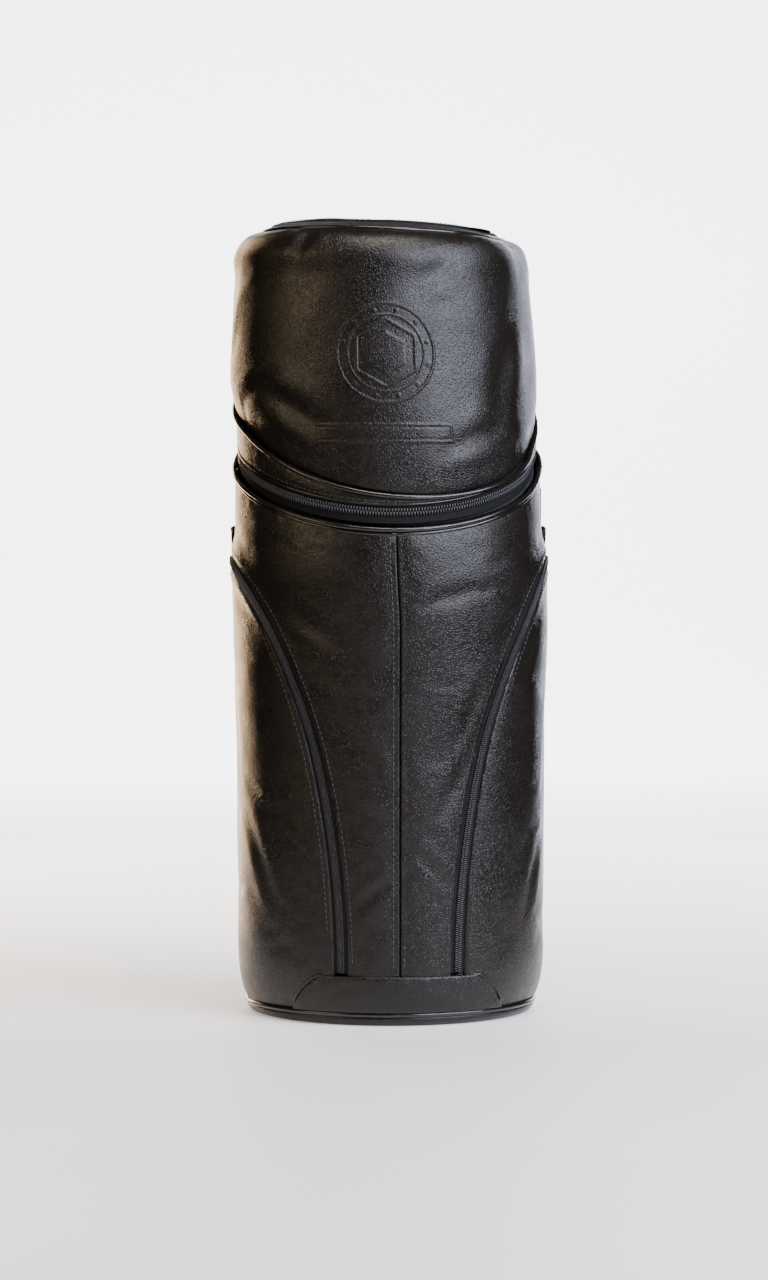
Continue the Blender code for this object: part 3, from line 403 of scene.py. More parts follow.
class Finish(Enum):
    """Every finish in use, by the thing it covers."""

    LEATHER = Leather("leather_grain")
    # Bindings are the same leather drawn tight over a cord, which flattens the grain and makes it shine.
    BINDING = Leather("leather_binding", cell=0.0018, depth=0.00004, gloss=0.15, shine=0.5, worn="#23201d")
    SOLID_LEATHER = Leather("leather_solid", cell=0.0018, depth=0.00010, coordinates=Coordinates.SOLID)
    LINING = Woven("lining_weave", "#1d1d20", 0.0005)
    TAPE = Woven("zip_tape", "#060607", 0.00045, 0.75)
    SOLID_TAPE = Woven("zip_tape_solid", "#060607", 0.00045, 0.75, Coordinates.SOLID)
    COIL = Moulded("zip_coil", "#252528", 0.28, 0.0004, 0.15)
    THREAD = Moulded("stitch_thread", "#2c2926", 0.38, 0.0002)
    FOAM = Woven("foam_cells", "#1b1b1e", 0.0009, 0.95, Coordinates.SOLID)
    BOARD = Moulded("base_board", "#1c1b1b", 0.6, 0.002)
    METAL = Plated("black_nickel")

    def material(self) -> bpy.types.Material:
        """Return the finish's material, built once."""
        return bpy.data.materials.get(self.value.name) or self.value.build()


# ---------------------------------------------------------------- shapes in numbers


class Profile:
    """A smooth curve through a few measured values."""

    def __init__(self, knots: Sequence[tuple[float, ...]], soft: float, step: float = 0.001) -> None:
        """Sample and smooth the knots.

        Args:
            knots: rows of a position and one or more values.
            soft: width over which corners are rounded.
            step: spacing of the samples.
        """
        rows = np.array(knots, float)
        self.x = np.arange(rows[0, 0], rows[-1, 0] + step / 2, step)
        width = max(int(soft / step), 1)
        kernel = np.hanning(2 * width + 3)[1:-1]
        kernel /= kernel.sum()
        pad = len(kernel) // 2
        columns = []
        for k in range(1, rows.shape[1]):
            line = np.interp(self.x, rows[:, 0], rows[:, k])
            before = 2 * line[0] - line[pad:0:-1] if len(line) > pad else np.full(pad, line[0])
            after = 2 * line[-1] - line[-2 : -pad - 2 : -1] if len(line) > pad else np.full(pad, line[-1])
            columns.append(np.convolve(np.concatenate([before, line, after]), kernel, "valid"))
        self.columns = columns

    def at(self, position: float | np.ndarray, column: int = 0) -> np.ndarray:
        """Values at some positions, held constant past the ends."""
        return np.interp(position, self.x, self.columns[column])


def lid_rows() -> list[tuple[float, float, float, float]]:
    """The lid's profile by distance along it, from the seam to the top."""
    rows, travelled = [], 0.0
    for i, (z, r, slope) in enumerate(LID_PROFILE):
        if i:
            travelled += math.hypot(z - LID_PROFILE[i - 1][0], r - LID_PROFILE[i - 1][1])
        rows.append((travelled, z, r, slope))
    return rows


BODY = Profile(BODY_PROFILE, 0.018)
LID = Profile(lid_rows(), 0.006, 0.0005)
LEAN = Profile(
    (
        (0.0, 0.0),
        (0.30, 0.0),
        (0.335, -0.0020),
        (0.39, -0.0036),
        (0.43, -0.0050),
        (0.47, -0.0100),
        (0.53, -0.0112),
        (0.60, -0.0110),
    ),
    0.012,
)


def smooth_step(value: float | np.ndarray, low: float, high: float) -> np.ndarray:
    """0 below low, 1 above high, with a smooth rise between them."""
    t = np.clip((np.asarray(value, float) - low) / (high - low), 0.0, 1.0)
    return t * t * (3 - 2 * t)


def slumped(points: np.ndarray) -> np.ndarray:
    """Lean the soft upper part a few millimetres, as the filled bag stands.

    The back keeps its place, because the sliders, rings and handle are there.

    Args:
        points: (n, 3) points.

    Returns:
        The moved points.
    """
    moved = points.copy()
    front = 1.0 - smooth_step(points[:, 1], -0.035, 0.030)
    moved[:, 0] += LEAN.at(points[:, 2]) * front
    moved[:, 2] -= 0.030 * points[:, 0] * smooth_step(points[:, 2], 0.50, 0.585) * front
    level = points[:, 2] - ZIP_SLOPE * points[:, 1]
    hem = smooth_step(level, ZIP_HEIGHT + 0.006, LID_SEAM - 0.004) * (1.0 - smooth_step(level, 0.462, 0.530))
    forward = 1.0 - smooth_step(points[:, 1], 0.005, 0.065)
    moved[:, 2] += hem * forward * (0.045 * np.minimum(points[:, 1], 0.0) - 0.10 * points[:, 0])
    return moved


def waves(points: np.ndarray, size: float, seed: int) -> np.ndarray:
    """Smooth, repeatable unevenness between about -1 and 1.

    Args:
        points: (n, k) coordinates in metres.
        size: typical distance between bumps.
        seed: number that picks the pattern.

    Returns:
        (n,) values.
    """
    source = np.random.default_rng(seed)
    total = np.zeros(len(points))
    for _ in range(9):
        way = source.normal(size=points.shape[1])
        way *= 2 * math.pi / (size * (0.7 + 0.9 * source.random())) / np.linalg.norm(way)
        total += np.sin(points @ way + source.random() * 6.283)
    return total / 4.2


@dataclass(frozen=True)
class Crease:
    """A valley or a ridge pressed into the padding."""

    azimuth: float
    height: float
    angle: float  # degrees from level, rising towards +X
    length: float
    width: float
    depth: float  # above zero for a valley

    def at(self, flat: np.ndarray) -> np.ndarray:
        """Outward displacement at flat points."""
        du, dz = flat[:, 0] - self.azimuth * PER_DEGREE, flat[:, 1] - self.height
        turn = math.radians(self.angle)
        along = du * math.cos(turn) + dz * math.sin(turn)
        side = -du * math.sin(turn) + dz * math.cos(turn) + 0.12 * along**2 / max(self.length, 1e-6)
        fade = np.exp(-((along / (self.length / 2)) ** 2))
        valley = np.exp(-((side / self.width) ** 2))
        lips = 0.45 * np.exp(-(((np.abs(side) - 1.9 * self.width) / self.width) ** 2))
        return -self.depth * fade * (valley - lips)


BODY_CREASES = (
    Crease(21.0, 0.178, 62.0, 0.075, 0.0060, 0.0016),
    Crease(12.0, 0.118, -48.0, 0.050, 0.0045, 0.0010),
    Crease(27.0, 0.232, 70.0, 0.060, 0.0050, 0.0011),
    Crease(-14.0, 0.205, -58.0, 0.060, 0.0060, 0.0010),
    Crease(-24.0, 0.286, -35.0, 0.070, 0.0060, 0.0011),
    Crease(17.0, 0.318, 15.0, 0.060, 0.0060, 0.00045),
    Crease(-9.0, 0.100, 40.0, 0.045, 0.0045, 0.0008),
    Crease(168.0, 0.25, 55.0, 0.090, 0.0070, 0.0014),
    Crease(195.0, 0.16, -50.0, 0.080, 0.0070, 0.0013),
    Crease(62.0, 0.105, 62.0, 0.060, 0.0060, 0.0012),
    Crease(-60.0, 0.120, -60.0, 0.070, 0.0060, 0.0013),
    Crease(80.0, 0.20, 80.0, 0.080, 0.0070, 0.0011),
    Crease(-85.0, 0.22, -78.0, 0.090, 0.0070, 0.0012),
)
LID_CREASES = (
    Crease(-38.0, 0.4585, -28.0, 0.066, 0.0090, 0.0024),
    Crease(-55.0, 0.474, 30.0, 0.045, 0.0060, 0.0016),
    Crease(50.0, 0.482, 68.0, 0.090, 0.0105, 0.0017),
    Crease(-33.0, 0.578, 62.0, 0.034, 0.0055, 0.0016),
    Crease(20.0, 0.560, 35.0, 0.050, 0.0070, 0.0009),
    Crease(32.0, 0.444, 18.0, 0.045, 0.0050, 0.0013),
    Crease(120.0, 0.52, 60.0, 0.070, 0.0080, 0.0020),
    Crease(-128.0, 0.51, -50.0, 0.080, 0.0080, 0.0022),
    Crease(185.0, 0.55, 10.0, 0.070, 0.0070, 0.0016),
    Crease(-80.0, 0.530, 72.0, 0.070, 0.0075, 0.0020),
)


def arch_bulge(flat: np.ndarray) -> np.ndarray:
    """How far the pocket zips push the leather out near the top of their arches."""
    total = np.zeros(len(flat))
    for centre in (90.0, -90.0, 270.0):
        du = (flat[:, 0] - centre * PER_DEGREE) / (ARCH_SPAN * PER_DEGREE)
        dz = (flat[:, 1] - ARCH_LOW) / ARCH_RISE
        reach = np.hypot(du, dz)
        away = (reach - 1.0) * ARCH_RISE * 0.8
        high = smooth_step(dz / np.maximum(reach, 1e-6), 0.55, 0.97)
        total += 0.0042 * np.exp(-((away / 0.011) ** 2)) * high * (dz > 0)
    return total


def on_body(flat: np.ndarray, out: float | np.ndarray = 0.0) -> np.ndarray:
    """Wrap flat points round the body.

    Args:
        flat: (n, 2) widths and heights.
        out: distance outwards from the leather's face, one value or (n,).

    Returns:
        (n, 3) points.
    """
    turn = flat[:, 0] / FLAT_RADIUS
    radius = BODY.at(flat[:, 1]) + arch_bulge(flat) + out
    return slumped(np.stack([radius * np.sin(turn), -radius * np.cos(turn), flat[:, 1]], axis=1))


def on_lid(flat: np.ndarray, out: float | np.ndarray = 0.0) -> np.ndarray:
    """Wrap (width, distance up the lid) points round the lid.

    Args:
        flat: (n, 2) widths and distances from the lid's seam.
        out: distance outwards from the leather's face, one value or (n,).

    Returns:
        (n, 3) points.
    """
    turn, s = flat[:, 0] / FLAT_RADIUS, flat[:, 1]
    dz = LID.at(s + 0.001, 0) - LID.at(s - 0.001, 0)
    dr = LID.at(s + 0.001, 1) - LID.at(s - 0.001, 1)
    size = np.hypot(dz, dr) + 1e-9
    radius = LID.at(s, 1) + out * dz / size
    y = -radius * np.cos(turn)
    z = LID.at(s, 0) - out * dr / size + LID.at(s, 2) * y
    return slumped(np.stack([radius * np.sin(turn), y, z], axis=1))


def ring_points(
    radius: float, height: float, slope: float, start: float = 0.0, sweep: float = 360.0, count: int = 240
) -> np.ndarray:
    """Points along a slanted ring; a full ring doesn't repeat its first point.

    Args:
        radius: its radius.
        height: height at the bag's axis.
        slope: rise for each metre towards the back.
        start: azimuth of the first point.
        sweep: degrees that it covers.
        count: number of points.

    Returns:
        (count, 3) points.
    """
    full = abs(sweep - 360.0) < 1e-6
    turn = np.radians(start + sweep * np.arange(count) / (count if full else count - 1))
    y = -radius * np.cos(turn)
    return slumped(np.stack([radius * np.sin(turn), y, height + slope * y], axis=1))


def arch_line(
    offset: float, first: float = 0.0, last: float = math.pi, steps: int = 96, side: int = 1
) -> np.ndarray:
    """The pocket's arch on the flat pattern, from its front foot to its back foot.

    Args:
        offset: distance outside the zip's centre line.
        first: start, 0 at the front foot.
        last: end, pi at the back foot.
        steps: number of steps.
        side: 1 for the right pocket, -1 for the left.

    Returns:
        (steps + 1, 2) flat points.
    """
    t = np.linspace(first, last, steps + 1)
    wide, high = ARCH_SPAN * PER_DEGREE, ARCH_RISE
    normal = np.stack([-high * np.cos(t), wide * np.sin(t)], axis=1)
    normal /= np.linalg.norm(normal, axis=1)[:, None]
    line = np.stack([90 * PER_DEGREE - wide * np.cos(t), ARCH_LOW + high * np.sin(t)], axis=1)
    line += normal * offset
    return line * (side, 1)


def rim_height(azimuth: float | np.ndarray) -> np.ndarray:
    """Height of the body's rim at an azimuth."""
    return RIM_HEIGHT - RIM_SLOPE * RIM_PIPING * np.cos(np.radians(azimuth))


def distance_to(points: np.ndarray, line: np.ndarray) -> np.ndarray:
    """Distance of each flat point from a closed polyline."""
    best = np.full(len(points), 1e9)
    for a, b in zip(line, np.roll(line, -1, axis=0)):
        run = b - a
        length = run @ run
        if length < 1e-14:
            continue
        t = np.clip((points - a) @ run / length, 0, 1)
        best = np.minimum(best, np.hypot(*(points - a - t[:, None] * run).T))
    return best


# ---------------------------------------------------------------- meshes


def grid_faces(rows: int, columns: int, closed: bool = False, inward: bool = False) -> list[tuple[int, ...]]:
    """Faces of a grid of points that is listed row by row.

    Args:
        rows: number of rows.
        columns: points in a row.
        closed: join the end of each row to its start.
        inward: turn the faces the other way.

    Returns:
        The faces as tuples of point numbers.
    """
    faces = []
    for start in range(0, (rows - 1) * columns, columns):
        for k in range(columns if closed else columns - 1):
            here, after = start + k, start + (k + 1) % columns
            if inward:
                faces.append((here, here + columns, after + columns, after))
            else:
                faces.append((here, after, after + columns, here + columns))
    return faces


def new_object(
    name: str, points: np.ndarray, faces: Sequence, finish: Finish, flat: Optional[np.ndarray] = None
) -> bpy.types.Object:
    """Make a mesh object with a finish and, if given, its flat coordinates.

    Args:
        name: object name.
        points: (n, 3) points.
        faces: lists of point numbers.
        finish: its finish.
        flat: (n, 2) pattern coordinates in metres for each point.

    Returns:
        The object.
    """
    mesh = bpy.data.meshes.new(name)
    mesh.from_pydata(np.asarray(points).tolist(), [], [list(map(int, f)) for f in faces])
    if flat is not None:
        layer = mesh.uv_layers.new(name="UVMap")
        corner = np.empty(len(mesh.loops), np.int32)
        mesh.loops.foreach_get("vertex_index", corner)
        layer.data.foreach_set("uv", np.asarray(flat, np.float32)[corner].ravel())
    mesh.polygons.foreach_set("use_smooth", [True] * len(mesh.polygons))
    mesh.materials.append(finish.material())
    obj = bpy.data.objects.new(name, mesh)
    bpy.context.scene.collection.objects.link(obj)
    return obj


def bake(obj: bpy.types.Object) -> bpy.types.Object:
    """Apply every modifier on an object."""
    if not obj.modifiers:
        return obj
    graph = bpy.context.evaluated_depsgraph_get()
    mesh = bpy.data.meshes.new_from_object(obj.evaluated_get(graph))
    obj.modifiers.clear()
    obj.data = mesh
    return obj


def cut_sheet(outline: np.ndarray, step: float) -> tuple[np.ndarray, list[list[int]]]:
    """Cut a flat outline into a fine, even grid.

    Args:
        outline: (n, 2) corners.
        step: size of a cell.

    Returns:
        Flat points and faces.
    """
    sheet = bmesh.new()
    sheet.faces.new([sheet.verts.new((float(u), float(z), 0.0)) for u, z in outline])
    low, high = outline.min(axis=0), outline.max(axis=0)
    for axis in (0, 1):
        normal = (1, 0, 0) if axis == 0 else (0, 1, 0)
        for value in np.arange(math.ceil(low[axis] / step) * step, high[axis], step):
            if min(value - low[axis], high[axis] - value) < step * 0.2:
                continue
            place = (value, 0, 0) if axis == 0 else (0, value, 0)
            geometry = sheet.verts[:] + sheet.edges[:] + sheet.faces[:]
            bmesh.ops.bisect_plane(sheet, geom=geometry, dist=1e-6, plane_co=place, plane_no=normal)
    bmesh.ops.remove_doubles(sheet, verts=sheet.verts[:], dist=step * 0.04)
    sheet.verts.index_update()
    points = np.array([v.co[:2] for v in sheet.verts])
    faces = [[v.index for v in f.verts] for f in sheet.faces]
    area = 0.0
    for face in faces:
        corners = points[face]
        after = np.roll(corners, -1, axis=0)
        area += float((corners[:, 0] * after[:, 1] - after[:, 0] * corners[:, 1]).sum())
    if area < 0:
        faces = [f[::-1] for f in faces]
    sheet.free()
    return points, faces


def turned_in(obj: bpy.types.Object, depth: float) -> bpy.types.Object:
    """Fold a sheet's free edges towards the bag's axis, so that it shows its thickness.

    Args:
        obj: the sheet.
        depth: how far the fold goes in.

    Returns:
        The same object.
    """
    sheet = bmesh.new()
    sheet.from_mesh(obj.data)
    border = [e for e in sheet.edges if e.is_boundary]
    made = bmesh.ops.extrude_edge_only(sheet, edges=border)["geom"]
    for vert in (g for g in made if isinstance(g, bmesh.types.BMVert)):
        way = Vector((vert.co.x, vert.co.y, 0.0)).normalized()
        vert.co -= way * depth
    for face in sheet.faces:
        face.smooth = True
    sheet.to_mesh(obj.data)
    sheet.free()
    return obj


def inflated(obj: bpy.types.Object, loose: np.ndarray, pressure: float, slack: float, cap: float) -> None:
    """Let the padding push a sheet out between its seams, as cloth, and keep the result.

    Args:
        obj: the sheet, already wrapped into place.
        loose: (n,) 0 where a seam holds the sheet, 1 where it is free.
        pressure: outward pressure.
        slack: how much longer the cloth is than its place, which makes it buckle.
        cap: farthest that any point may move.
    """
    scene = bpy.context.scene
    count = len(obj.data.vertices)
    rest = np.empty(count * 3, np.float32)
    obj.data.vertices.foreach_get("co", rest)
    group = obj.vertex_groups.new(name="held")
    for index in range(count):
        group.add([index], float(1.0 - loose[index]), "REPLACE")
    cloth = obj.modifiers.new("Cloth", "CLOTH")
    values = cloth.settings
    values.vertex_group_mass = "held"
    values.quality = 4
    values.mass = 0.25
    values.tension_stiffness = values.compression_stiffness = 30
    values.shear_stiffness = 15
    values.bending_stiffness = 1.2
    values.use_pressure = True
    values.uniform_pressure_force = pressure
    values.shrink_min = -slack
    values.effector_weights.gravity = 0
    cloth.collision_settings.use_collision = False
    cloth.point_cache.frame_end = CLOTH_FRAMES
    for frame_number in range(1, CLOTH_FRAMES + 1):
        scene.frame_set(frame_number)
    graph = bpy.context.evaluated_depsgraph_get()
    made = obj.evaluated_get(graph).to_mesh()
    moved = np.empty(count * 3, np.float32)
    made.vertices.foreach_get("co", moved)
    obj.evaluated_get(graph).to_mesh_clear()
    obj.modifiers.clear()
    obj.vertex_groups.clear()
    scene.frame_set(1)
    shift = (moved - rest).reshape(-1, 3)
    size = np.linalg.norm(shift, axis=1)[:, None]
    shift = np.nan_to_num(shift * cap / (cap + size))
    shift *= loose[:, None]
    log.info("%s moved at most %.2f mm", obj.name, 1000 * float(np.abs(shift).max()))
    obj.data.vertices.foreach_set("co", (rest.reshape(-1, 3) + shift).ravel())
    obj.data.update()


def refined(obj: bpy.types.Object) -> bpy.types.Object:
    """Subdivide an object smoothly once and keep the result."""
    smooth = obj.modifiers.new("Subdivision", "SUBSURF")
    smooth.levels = smooth.render_levels = 1
    smooth.boundary_smooth = "PRESERVE_CORNERS"
    return bake(obj)


@dataclass
class Run:
    """A line of points with its directions, for tubes, zips and rows of stitches."""

    points: np.ndarray
    out: np.ndarray
    closed: bool = False

    def along(self) -> np.ndarray:
        """Unit direction of travel at each point."""
        if self.closed:
            way = np.roll(self.points, -1, axis=0) - np.roll(self.points, 1, axis=0)
        else:
            way = np.gradient(self.points, axis=0)
        return way / np.linalg.norm(way, axis=1)[:, None]

    def length(self) -> np.ndarray:
        """Distance travelled at each point."""
        step = np.linalg.norm(np.diff(self.points, axis=0), axis=1)
        return np.concatenate([[0.0], np.cumsum(step)])

    def at(self, distances: np.ndarray) -> "Run":
        """The same line, sampled at some distances."""
        travelled = self.length()
        points = np.stack([np.interp(distances, travelled, self.points[:, k]) for k in range(3)], axis=1)
        out = np.stack([np.interp(distances, travelled, self.out[:, k]) for k in range(3)], axis=1)
        return Run(points, out / np.linalg.norm(out, axis=1)[:, None], self.closed)

    def laid_on(self, *objects: bpy.types.Object) -> "Run":
        """The same line, moved in or out to lie on the faces of some objects."""
        points = self.points.copy()
        best = np.full(len(points), -1.0)
        for obj in objects:
            corners = [v.co for v in obj.data.vertices]
            tree = BVHTree.FromPolygons(corners, [p.vertices for p in obj.data.polygons])
            for i, (point, out) in enumerate(zip(self.points, self.out)):
                start = Vector(point + out * RAY_START)
                hit = tree.ray_cast(start, Vector(-out), RAY_REACH)
                if hit[0] is not None and RAY_REACH - hit[3] > best[i]:
                    best[i] = RAY_REACH - hit[3]
                    points[i] = hit[0]
        return Run(points, self.out, self.closed)

    def frames(self) -> tuple[np.ndarray, np.ndarray, np.ndarray]:
        """Unit directions along, across (to the left) and out at each point."""
        t = self.along()
        a = np.cross(self.out, t)
        a /= np.linalg.norm(a, axis=1)[:, None]
        return t, a, np.cross(t, a)


def radial(points: np.ndarray) -> np.ndarray:
    """Unit directions level and away from the bag's axis."""
    out = points * (1, 1, 0)
    return out / np.linalg.norm(out, axis=1)[:, None]


def tube(
    name: str, run: Run, radius: float | np.ndarray, finish: Finish, sides: int, flatten: float = 1.0
) -> bpy.types.Object:
    """Sweep a round section along a run.

    Args:
        name: object name.
        run: the line.
        radius: one value or one a point.
        finish: its finish.
        sides: sides of the section.
        flatten: height of the section over its width.

    Returns:
        The object, with flat coordinates along and round it.
    """
    t, a, n = run.frames()
    count = len(run.points)
    turn = np.linspace(0, 2 * math.pi, sides, endpoint=False)
    radius = np.broadcast_to(radius, (count,))[:, None, None]
    ring = a[:, None] * np.cos(turn)[None, :, None] + n[:, None] * (flatten * np.sin(turn))[None, :, None]
    points = (run.points[:, None] + ring * radius).reshape(-1, 3)
    around = turn * float(radius.mean())
    flat = np.stack(np.broadcast_arrays(run.length()[:, None], around[None]), axis=2).reshape(-1, 2)
    faces = []
    for i in range(count if run.closed else count - 1):
        j = (i + 1) % count
        for k in range(sides):
            m = (k + 1) % sides
            faces.append((i * sides + k, j * sides + k, j * sides + m, i * sides + m))
    if not run.closed:
        faces.append(tuple(range(sides))[::-1])
        faces.append(tuple((count - 1) * sides + k for k in range(sides)))
    obj = new_object(name, points, faces, finish, flat)
    flip_if_inside_out(obj)
    return obj


def flip_if_inside_out(obj: bpy.types.Object) -> None:
    """Make every face of a closed mesh point outwards."""
    shell = bmesh.new()
    shell.from_mesh(obj.data)
    bmesh.ops.recalc_face_normals(shell, faces=shell.faces[:])
    shell.to_mesh(obj.data)
    shell.free()


def bead(long: float, wide: float, high: float, sides: int = 6) -> tuple[np.ndarray, list[tuple[int, ...]]]:
    """One rounded bar lying along X, for stitches and zip teeth.

    Args:
        long: its length.
        wide: its width.
        high: its height.
        sides: sides of its section.

    Returns:
        Points and faces.
    """
    stations = ((-0.5, 0.35), (-0.36, 0.85), (0.0, 1.0), (0.36, 0.85), (0.5, 0.35))
    turn = np.linspace(0, 2 * math.pi, sides, endpoint=False)
    points = [
        (long * x, wide / 2 * size * math.cos(angle), high / 2 * size * math.sin(angle))
        for x, size in stations
        for angle in turn
    ]
    faces: list[tuple[int, ...]] = []
    for i in range(len(stations) - 1):
        for k in range(sides):
            m = (k + 1) % sides
            faces.append((i * sides + k, (i + 1) * sides + k, (i + 1) * sides + m, i * sides + m))
    faces.append(tuple(range(sides)))
    faces.append(tuple((len(stations) - 1) * sides + k for k in range(sides))[::-1])
    return np.array(points), [f[::-1] for f in faces]


def repeated(
    name: str, centres: np.ndarray, axes: tuple[np.ndarray, ...], part: tuple, finish: Finish
) -> bpy.types.Object:
    """Copy one small shape to many places as one mesh.

    Args:
        name: object name.
        centres: (n, 3) places.
        axes: the shape's X, Y and Z direction at each place, (n, 3) each.
        part: points and faces of the shape.
        finish: its finish.

    Returns:
        The object.
    """
    points, faces = part
    x_axis, y_axis, z_axis = axes
    placed = (
        centres[:, None]
        + x_axis[:, None] * points[None, :, 0:1]
        + y_axis[:, None] * points[None, :, 1:2]
        + z_axis[:, None] * points[None, :, 2:3]
    )
    count = len(points)
    every = [tuple(i * count + k for k in face) for i in range(len(centres)) for face in faces]
    return new_object(name, placed.reshape(-1, 3), every, finish)


@dataclass(frozen=True)
class Stitching:
    """Bonded polyester thread in a lockstitch: short bars sunk a little into the leather."""

    length: float = 0.0031
    gap: float = 0.0013
    thread: float = 0.00072
    sunk: float = 0.00010

    def sew(self, name: str, run: Run) -> bpy.types.Object:
        """Lay stitches along a run.

        Args:
            name: object name.
            run: the row's line on the leather's face.

        Returns:
            The stitches as one object.
        """
        pitch = self.length + self.gap
        total = run.length()[-1]
        where = np.arange(pitch, total - pitch / 2, pitch)
        spot = run.at(where)
        t, a, n = spot.frames()
        tilt = t + a * 0.06
        centres = spot.points + n * (self.thread / 2 - self.sunk)
        part = bead(self.length, self.thread, self.thread * 0.8)
        return repeated(name, centres, (tilt, a, n), part, Finish.THREAD)


@dataclass(frozen=True)
class CoilZip:
    """Nylon coil zip: two rows of coil loops that mesh, sewn on woven tapes."""

    pitch: float
    chain: float = 0.0030  # half the width of the closed chain
    tape: float = 0.0066  # half the width that shows between the leather edges
    height: float = 0.0014

    def half(self, name: str, run: Run, side: int) -> tuple[bpy.types.Object, bpy.types.Object]:
        """Build one side of the zip.

        Args:
            name: base name.
            run: the zip's centre line on the tape's face.
            side: 1 for the left of the direction of travel, -1 for the right.

        Returns:
            The row of coil loops and its tape.
        """
        total = run.length()[-1]
        where = np.arange(self.pitch / 2 + (side > 0) * self.pitch / 2, total - self.pitch / 2, self.pitch)
        spot = run.at(where)
        t, a, n = spot.frames()
        reach = self.chain * 1.12
        centres = spot.points + a * (side * (self.chain - reach / 2)) + n * (self.height * 0.45)
        lean = a + t * (side * 0.10)
        part = bead(reach, self.pitch * 0.66, self.height, 8)
        teeth = repeated(f"{name}_teeth", centres, (lean, np.cross(n, lean), n), part, Finish.COIL)

        stations = np.array([0.0004, self.chain * 0.9, self.chain * 1.1, self.tape])
        lift = np.array([-0.0003, -0.0001, 0.0, -0.0003])
        fine = run.at(np.linspace(0, total, max(int(total / 0.003), 8)))
        t, a, n = fine.frames()
        points = fine.points[:, None] + a[:, None] * (side * stations)[None, :, None]
        points = points + n[:, None] * lift[None, :, None]
        flat = np.stack(np.broadcast_arrays(fine.length()[:, None], stations[None]), axis=2).reshape(-1, 2)
        faces = grid_faces(len(fine.points), len(stations), inward=True)
        if side > 0:
            faces = [face[::-1] for face in faces]
        tape = new_object(f"{name}_tape", points.reshape(-1, 3), faces, Finish.TAPE, flat)
        return teeth, tape


# ---------------------------------------------------------------- leather panels


@dataclass(frozen=True)
class Panel:
    """One piece of leather over padding, cut from an outline on the flat pattern."""

    name: str
    outline: np.ndarray
    nodes: tuple[str, ...]
    place: Callable[[np.ndarray, np.ndarray], np.ndarray] = on_body
    creases: tuple[Crease, ...] = BODY_CREASES
    step: float = 0.0035
    puff: float = 0.0011
    pucker: float = 0.00045
    slack: float = 0.003
    pressure: float = 6.0
    cap: float = 0.0008
    seed: int = 1
    extra: Optional[Callable[[np.ndarray], np.ndarray]] = None
    simulate: bool = True
    thickness: float = 0.0016

    def height(self, flat: np.ndarray, edge: np.ndarray) -> np.ndarray:
        """Outward relief of the leather before it is simulated.

        Args:
            flat: (n, 2) flat points.
            edge: (n,) distance from the nearest seam.

        Returns:
            (n,) distances outwards.
        """
        rise = self.puff * (1 - np.exp(-edge / 0.013)) - 0.0003
        rise -= 0.0006 * np.exp(-((edge / 0.0011) ** 2))
        rise += 0.00030 * waves(flat, 0.070, self.seed)
        ripple = waves(flat * (1.0, 0.35), 0.011, self.seed + 7)
        rise += self.pucker * ripple * np.exp(-edge / 0.009) * (1 - np.exp(-edge / 0.002))
        for crease in self.creases:
            rise += crease.at(flat) * (1 - np.exp(-edge / 0.006))
        if self.extra is not None:
            rise += self.extra(flat)
        return rise

    def build(self, body: str) -> bpy.types.Object:
        """Build, simulate and dress the panel.

        Args:
            body: CAD body that it rides on.

        Returns:
            The object.
        """
        flat, faces = cut_sheet(self.outline, self.step)
        edge = distance_to(flat, self.outline)
        points = self.place(flat, self.height(flat, edge))
        obj = new_object(self.name, points, faces, Finish.LEATHER, flat)
        if self.simulate:
            inflated(obj, smooth_step(edge, 0.0008, 0.012), self.pressure, self.slack, self.cap)
        turned_in(obj, self.thickness)
        refined(obj)
        if body:
            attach(obj, body)
        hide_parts(*self.nodes)
        return obj


def body_run(flat: np.ndarray, out: float) -> Run:
    """A line on the body's leather."""
    points = on_body(flat, out)
    return Run(points, radial(points))


def line_between(a: tuple[float, float], b: tuple[float, float], steps: int = 40) -> np.ndarray:
    """Flat points on a straight line."""
    return np.linspace(a, b, steps + 1)


